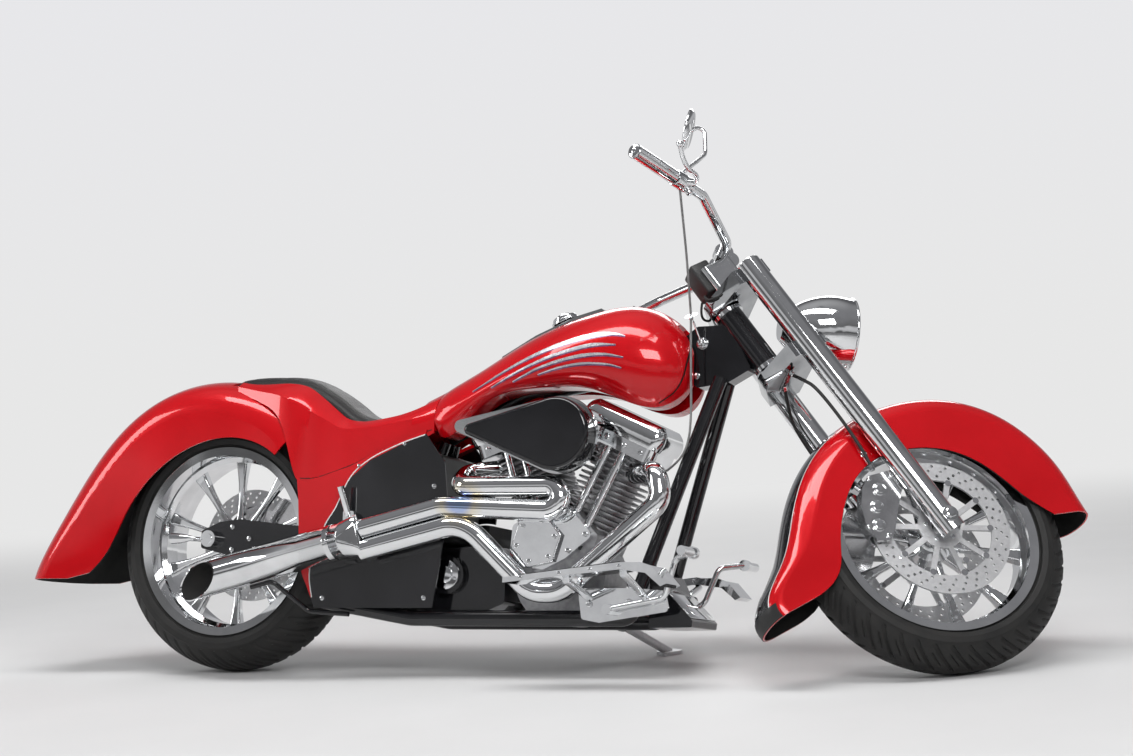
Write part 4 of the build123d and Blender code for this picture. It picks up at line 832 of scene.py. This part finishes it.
# Handlebar: one bent, plated tube clamped to a riser block, with levers, turned grips and a mirror on the right.
# A black switch box sits behind the riser, and black cables loop from it round the top tree. The grey throttle cable
# comes down in two lengths that meet at a clip on the neck.
dress(chrome, "handlebar", "grips")
mirror_glass_finish = coating("mirror glass", (0.75, 0.76, 0.78), (0.85, 0.86, 0.88), 1.0, 0.0, 0.03, 8.0, 0.0)
mirror_form = copy_of("mirrors")
back_steered = steered.inverted()
left_parts = [v for v in mirror_form.verts if (back_steered @ v.co).y > 0]
bmesh.ops.delete(mirror_form, geom=left_parts, context="VERTS")
bmesh.ops.recalc_face_normals(mirror_form, faces=mirror_form.faces)
mirror_shown = settle(mirror_form, "mirror_plated", chrome, "steering", Matrix.Identity(4), 30.0)
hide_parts("mirrors")
glass_way = Vector((-0.96, 0.2, 0.2)).normalized()
glass_form = bmesh.new()
fixing(glass_form, Vector((1.157, -0.250, 0.863)), glass_way, 0.0435, 0.0012, 48, 0.4)
settle(glass_form, "mirror_glass", mirror_glass_finish, "steering", steered)

riser_form = bmesh.new()
for side in (-1, 1):
    fixing(riser_form, on_fork(0.855, 0.072, side * 0.030) + Vector((0, 0, 0.020)), (0, 0, 1), 0.0055, 0.007, 16)
settle(riser_form, "riser_bolts", chrome, "steering", steered)


def rounded_block(form, place, size, edge, segments=2):
    """Adds a block with rounded edges, its middle at a place."""
    made = bmesh.ops.create_cube(form, size=1.0, matrix=place @ Matrix.Diagonal((*size, 1)))["verts"]
    edges = list({e for v in made for e in v.link_edges})
    bmesh.ops.bevel(form, geom=edges, offset=edge, segments=segments, profile=0.5, affect="EDGES", material=-1)


box_form = bmesh.new()
rounded_block(box_form, aimed(on_fork(0.826, 0.002, 0), stem_up), (0.060, 0.052, 0.084), 0.006, 3)
settle(box_form, "switch_box", satin_black, "steering", steered)
grip_way = Vector((-0.7079, -0.6753, -0.2069))
housing_form = bmesh.new()
for side in (-1, 1):
    way = Vector((grip_way.x, side * -grip_way.y, grip_way.z))
    inner = Vector((1.0855, side * 0.3388, 0.6612)) - way * 0.060
    fixing(housing_form, inner - way * 0.040, way, 0.0205, 0.026, 40, 0.12)
    fixing(housing_form, inner - way * 0.030 + Vector((0.010, 0, -0.016)), (0.5, 0, -0.86), 0.0085, 0.016, 24)
    end = Vector((1.013, side * 0.408, 0.640)) + way * 0.0062
    fixing(housing_form, end, way, 0.0150, 0.004, 40, 0.4)
    fixing(housing_form, end + way * 0.0036, way, 0.0060, 0.003, 24, 0.4)
settle(housing_form, "control_housings", chrome, "steering", steered)


def nurbs_line(name, points, radius, round_steps, along_steps):
    """A smooth round line through control points."""
    line = bpy.data.curves.new(name, "CURVE")
    line.dimensions = "3D"
    line.bevel_depth = radius
    line.bevel_resolution = round_steps
    line.resolution_u = along_steps
    line.use_fill_caps = True
    run = line.splines.new("NURBS")
    run.points.add(len(points) - 1)
    for mark, point in zip(run.points, points):
        mark.co = (*point, 1)
    run.order_u = 3
    run.use_endpoint_u = True
    return new_object(name, line)


def mesh_of(piece):
    """The mesh of a line; the line's object is used up."""
    bpy.context.view_layer.update()
    mesh = bpy.data.meshes.new_from_object(piece)
    bpy.data.objects.remove(piece)
    return mesh


lever_reach = [(0.036, 0, -0.002), (0.044, 0.028, -0.003), (-0.006, 0.066, -0.008), (-0.024, 0.110, 0.016)]
lever_form = bmesh.new()
for side in (-1, 1):
    way = Vector((grip_way.x, side * -grip_way.y, grip_way.z))
    perch = Vector((1.137, side * 0.290, 0.676))
    fixing(lever_form, perch - way * 0.022, way, 0.0200, 0.044, 40, 0.1)
    fixing(lever_form, perch, (0.99, 0, -0.05), 0.0110, 0.042, 24)
    spots = [perch + Vector((x, side * y, z)) for x, y, z in lever_reach]
    swept = mesh_of(nurbs_line("lever line", spots, 0.0055, 6, 16))
    lever_form.from_mesh(swept)
    bpy.data.meshes.remove(swept)
    bmesh.ops.create_uvsphere(lever_form, u_segments=24, v_segments=16, radius=0.0085,
                              matrix=Matrix.Translation(spots[-1]))
hand_levers = settle(lever_form, "hand_controls_plated", chrome, "steering", steered)
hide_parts("hand_controls")
cable_jacket = coating("grey cable jacket", (0.16, 0.16, 0.16), (0.24, 0.24, 0.24), 0.0, 0.35, 0.5, 60.0, 0.1)
throttle_thickness, switch_thickness = 0.0056, 0.006


def cord_between(name, finish, points, thickness, body, place):
    """A hose or cable as a smooth line through control points, riding with a body."""
    piece = nurbs_line(name, [place @ Vector(point) for point in points], thickness / 2, 4, 10)
    piece.data.materials.append(finish)
    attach(piece, body)
    return piece


def line_length(piece):
    """The length of a cord's own line."""
    bare = piece.data.copy()
    bare.bevel_depth = 0
    mesh = mesh_of(new_object("bare line", bare))
    length = sum((mesh.vertices[e.vertices[0]].co - mesh.vertices[e.vertices[1]].co).length for e in mesh.edges)
    bpy.data.meshes.remove(mesh)
    return length


def describe_cord(piece):
    """Works out the length of a cord's line, and keeps nothing of it."""
    line_length(piece)


cable_joint = Vector((1.262, -0.075, 0.520))
cable_top = back_steered @ (parked @ Vector((1.298, -0.262, 0.786)))
cable_low = back_steered @ (parked @ cable_joint)
cable_middle = (cable_top + cable_low) / 2 + Vector((0.004, 0.006, 0))
throttle_upper = cord_between("throttle_cable_upper", cable_jacket, [
    cable_top, cable_top.lerp(cable_middle, 0.5), cable_middle, cable_middle.lerp(cable_low, 0.5), cable_low,
], throttle_thickness, "steering", steered)
throttle_lower = cord_between("throttle_cable_lower", cable_jacket, [
    cable_joint, (1.263, -0.076, 0.440), (1.265, -0.078, 0.360), (1.267, -0.080, 0.280), (1.262, -0.080, 0.215),
    (1.236, -0.074, 0.170), (1.196, -0.058, 0.150),
], throttle_thickness, "root", parked)
clip_form = bmesh.new()
clip_foot = Vector((1.275, -0.037, 0.458))
clip_way = cable_joint - clip_foot
fixing(clip_form, clip_foot, clip_way, 0.0022, clip_way.length - 0.002, 12)
fixing(clip_form, cable_joint - Vector((0, 0, 0.012)), (0, 0, 1), 0.0048, 0.012, 20)
settle(clip_form, "cable_clip", chrome, "root")
for number, (side, out) in enumerate([(-1, 0.052), (-1, 0.040), (1, 0.046)]):
    box_exit = on_fork(0.786, -0.030, side * 0.014)
    loop = cord_between(f"switch_cable_{number + 1}", rubber, [
        box_exit, on_fork(0.762, -0.040 - 0.2 * out, side * out * 0.7), on_fork(0.748, -0.022, side * (out + 0.010)),
        on_fork(0.762, 0.018, side * (out + 0.006)), on_fork(0.790, 0.030, side * 0.044),
    ], switch_thickness, "steering", steered)
    describe_cord(loop)
describe_cord(throttle_upper)
describe_cord(throttle_lower)

# Headlamp: a spun and plated bowl on a plated post, closed by a fluted glass held in a bright rim.
# The flutes stand upright inside the pressed glass, and one screw under the rim draws it tight.
dress(chrome, "headlamp_shell")
lens = coating("headlamp glass", (0.8, 0.82, 0.84), (0.9, 0.92, 0.93), 0.0, 0.02, 0.06, 20.0, 0.3)
lens.node_tree.nodes["Principled BSDF"].inputs["Transmission Weight"].default_value = 0.9
dress(lens, "headlamp_glass")
lamp_rim = Vector((1.628, 0, 0.526))
lamp_way = Vector((cos(radians(3.5)), 0, sin(radians(3.5))))
rim_radius, rim_thick = 0.0865, 0.0075
rim_form = bmesh.new()
bmesh.ops.create_circle(rim_form, cap_ends=False, segments=12, radius=rim_thick / 2,
                        matrix=Matrix.Translation((rim_radius, 0, 0)) @ Matrix.Rotation(pi / 2, 4, "X"))
bmesh.ops.spin(rim_form, geom=rim_form.verts[:] + rim_form.edges[:], cent=(0, 0, 0), axis=(0, 0, 1), angle=2 * pi,
               steps=72, use_merge=True)
bmesh.ops.transform(rim_form, matrix=aimed(lamp_rim - lamp_way * 0.002, lamp_way), verts=rim_form.verts)
bmesh.ops.recalc_face_normals(rim_form, faces=rim_form.faces)
fixing(rim_form, lamp_rim - lamp_way * 0.010 + Vector((0, 0, -0.0895)), (0, 0, -1), 0.004, 0.006, 12)
settle(rim_form, "headlamp_rim", chrome, "steering", steered)
glass_radius = 0.078
flute_form = bmesh.new()
for number in range(-4, 5):
    y = number * 0.0165
    bmesh.ops.create_cone(flute_form, cap_ends=True, segments=10, radius1=0.0016, radius2=0.0016,
                          depth=2 * sqrt(glass_radius ** 2 - y ** 2),
                          matrix=Matrix.Translation(lamp_rim + Vector((-0.0075, y, 0))))
settle(flute_form, "headlamp_flutes", lens, "steering", steered)

# Front fender: deep pressed flanks on a rolled crown, in the same red, on two plated bosses inside the legs.
# A black panel with white lines runs down the middle of its tail, and the tail's lip is black; the inside is lined in
# black as painted shade.
dress(red_paint, "front_fender")


def faces_front_axle(spot, way):
    """True on the side of the front fender's wall that looks at the wheel."""
    there = front_from_parked @ spot
    along = front_from_parked.to_3x3() @ way
    out = Vector((there.x, 0, there.z))
    inner_flank = along.y * there.y < 0 and abs(along.y) > 0.5 and abs(there.y) < 0.0865
    return along.dot(out.normalized()) < -0.3 or inner_flank


front_from_parked = front_place.inverted() @ parked
# The front fender's inside gets the same black lining as painted shade.
inner_face_of("front_fender", "front_fender_painted_shade", painted_shade_lining, "steering", faces_front_axle)
wrap_radius = 0.56


def wrap_band(turns, sides, columns, lanes):
    """A band over a fender's crown: angles round the axle, and distances from its middle."""
    form = bmesh.new()
    bmesh.ops.create_grid(form, x_segments=columns, y_segments=lanes, size=0.5)
    for corner in form.verts:
        turn = radians(turns[0] + (turns[1] - turns[0]) * (corner.co.x + 0.5))
        y = sides[0] + (sides[1] - sides[0]) * (corner.co.y + 0.5)
        corner.co = (cos(turn) * wrap_radius, y, sin(turn) * wrap_radius)
    return form


fender_surface = surface_of("front_fender")
for name, finish, turns, sides, lift, columns, lanes in [
    ("fender_black_panel", black_paint, (136, 216.5), (-0.052, 0.052), 0.0004, 90, 24),
    ("fender_line_right", white_stripe, (136, 216.5), (-0.0545, -0.052), 0.0006, 90, 2),
    ("fender_line_left", white_stripe, (136, 216.5), (0.052, 0.0545), 0.0006, 90, 2),
    ("fender_line_front", white_stripe, (135.6, 136), (-0.0545, 0.0545), 0.0006, 2, 24),
    ("fender_tail_lip", satin_black, (212.6, 216.9), (-0.0660, 0.0660), 0.0009, 6, 60),
]:
    band = wrap_band(turns, sides, columns, lanes)
    lay_on(band, front_place, lift, lambda spot: -Vector((spot.x, 0, spot.z)).normalized(), fender_surface)
    finish_band(band, name, finish, "steering", front_place)
acorn_form = bmesh.new()
for side in (-1, 1):
    for ahead in (0.008, 0.102):
        fixing(acorn_form, on_fork(0.232, ahead, side * 0.0855), (0, side, 0), 0.0085, 0.003, 20)
        fixing(acorn_form, on_fork(0.232, ahead, side * 0.0880), (0, side, 0), 0.0062, 0.008, 6, 0.45)
settle(acorn_form, "fender_bolts", chrome, "steering", steered)

# Front wheel: the same ten spoke casting on a narrower rim, with a drilled disc and a caliper on each side.
# The calipers are polished castings on the legs; a rubber hose runs to each from the lower tree.
dress(chrome, "front_rim")
dress(polished, "front_calipers")
mould_tyre("front_tyre_moulded", 0.316, 0.130, 0.066, 0.114, "front_wheel", front_place, "front_tyre")
drill_disc("front_discs_drilled", "front_discs", "front_wheel", front_place, 0.164, (-0.080, 0.080), 8)
front_form = bmesh.new()
for side in (-1, 1):
    bolt_circle(front_form, (0, side * 0.0825, 0), 0.034, 5, 36, side, 0.0055, 0.0045, 16)
settle(front_form, "front_hub_bolts", chrome, "front_wheel", front_place)
caliper_form = bmesh.new()
pistons = [(-0.146, 0.064), (-0.152, 0.018), (-0.148, -0.028)]
fixings_both_sides(caliper_form, [(0, 0)], 0.1475, 0.0185, 0.004, 40)
fixings_both_sides(caliper_form, [(0, 0)], 0.1515, 0.0130, 0.007, 6, 0.4)
fixings_both_sides(caliper_form, pistons, 0.098, 0.0155, 0.004, 36)
fixings_both_sides(caliper_form, pistons, 0.102, 0.0100, 0.002, 36)
fixings_both_sides(caliper_form, [(-0.168, 0.088), (-0.118, 0.104), (-0.170, -0.036), (-0.125, -0.050)], 0.098,
                   0.0055, 0.004, 16)
settle(caliper_form, "caliper_bolts", chrome, "steering", front_place)
hose_route = [(0.504, 0.020, 0.030), (0.470, 0.015, 0.062), (0.420, 0.012, 0.098), (0.240, 0.008, 0.100),
              (0.190, -0.002, 0.094)]
hose_thickness = 0.008
ferrule_form = bmesh.new()
for side, name in ((-1, "brake_hose_right"), (1, "brake_hose_left")):
    route = [on_fork(up, ahead, side * y) for up, ahead, y in hose_route]
    hose = cord_between(name, rubber, route, hose_thickness, "steering", steered)
    describe_cord(hose)
    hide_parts("brake_hoses")
    fixing(ferrule_form, on_fork(0.507, 0.020, side * 0.029), route[1] - route[0], 0.0062, 0.014, 6)
    fixing(ferrule_form, on_fork(0.186, -0.003, side * 0.0935), route[3] - route[4], 0.0062, 0.016, 6)
settle(ferrule_form, "hose_ferrules", chrome, "steering", steered)

# Foot boards: billet boards on two arms each from a plated bracket, with rubber ribs let into their treads.
# Toe pedals turn on the same brackets, and a folding peg for the passenger stands on each side panel.
dress(chrome, "footboards", "foot_pedals", "passenger_pegs")
pad_form = bmesh.new()
board_form = bmesh.new()
tread_slope = atan2(0.016, 0.140)
for side, shift in ((-1, 0.0), (1, -0.016)):
    for y in (0.258, 0.275, 0.292, 0.309):
        place = Matrix.Translation((1.060 + shift, side * y, -0.0948)) @ Matrix.Rotation(-tread_slope, 4, "Y")
        rounded_block(pad_form, place, (0.250, 0.0085, 0.0044), 0.0012)
    for x, z in [(0.950, -0.1140), (1.045, -0.1050), (1.120, -0.0970), (1.190, -0.0900)]:
        fixing(board_form, (x + shift, side * 0.3300, z), (0, side, 0), 0.0042, 0.0025, 16)
    for x, z in [(1.040, -0.165), (1.140, -0.160), (1.200, -0.160)]:
        fixing(board_form, (x + shift, side * 0.1353, z), (0, side, 0), 0.0075, 0.006, 6)
settle(pad_form, "board_pads", rubber, "root")
settle(board_form, "board_bolts", chrome, "root")
chin_form = bmesh.new()
chin_from, chin_to = Vector((1.2115, 0, -0.1330)), Vector((1.2790, 0, -0.2005))
chin_way = (chin_to - chin_from).normalized()
chin_place = (Matrix.Translation((chin_from + chin_to) / 2 + Vector((0.0010, 0, 0.0010)))
              @ Matrix.Rotation(atan2(-chin_way.z, chin_way.x), 4, "Y"))
rounded_block(chin_form, chin_place, (0.080, 0.172, 0.0024), 0.0008)
settle(chin_form, "chin_strip", chrome, "root")

# Side stand: a forged steel leg with a bent foot, turning on a bolt in a lug under the left rail.
# It is left in bare steel, and the parked machine leans on it.
dress(steel, "side_stand")
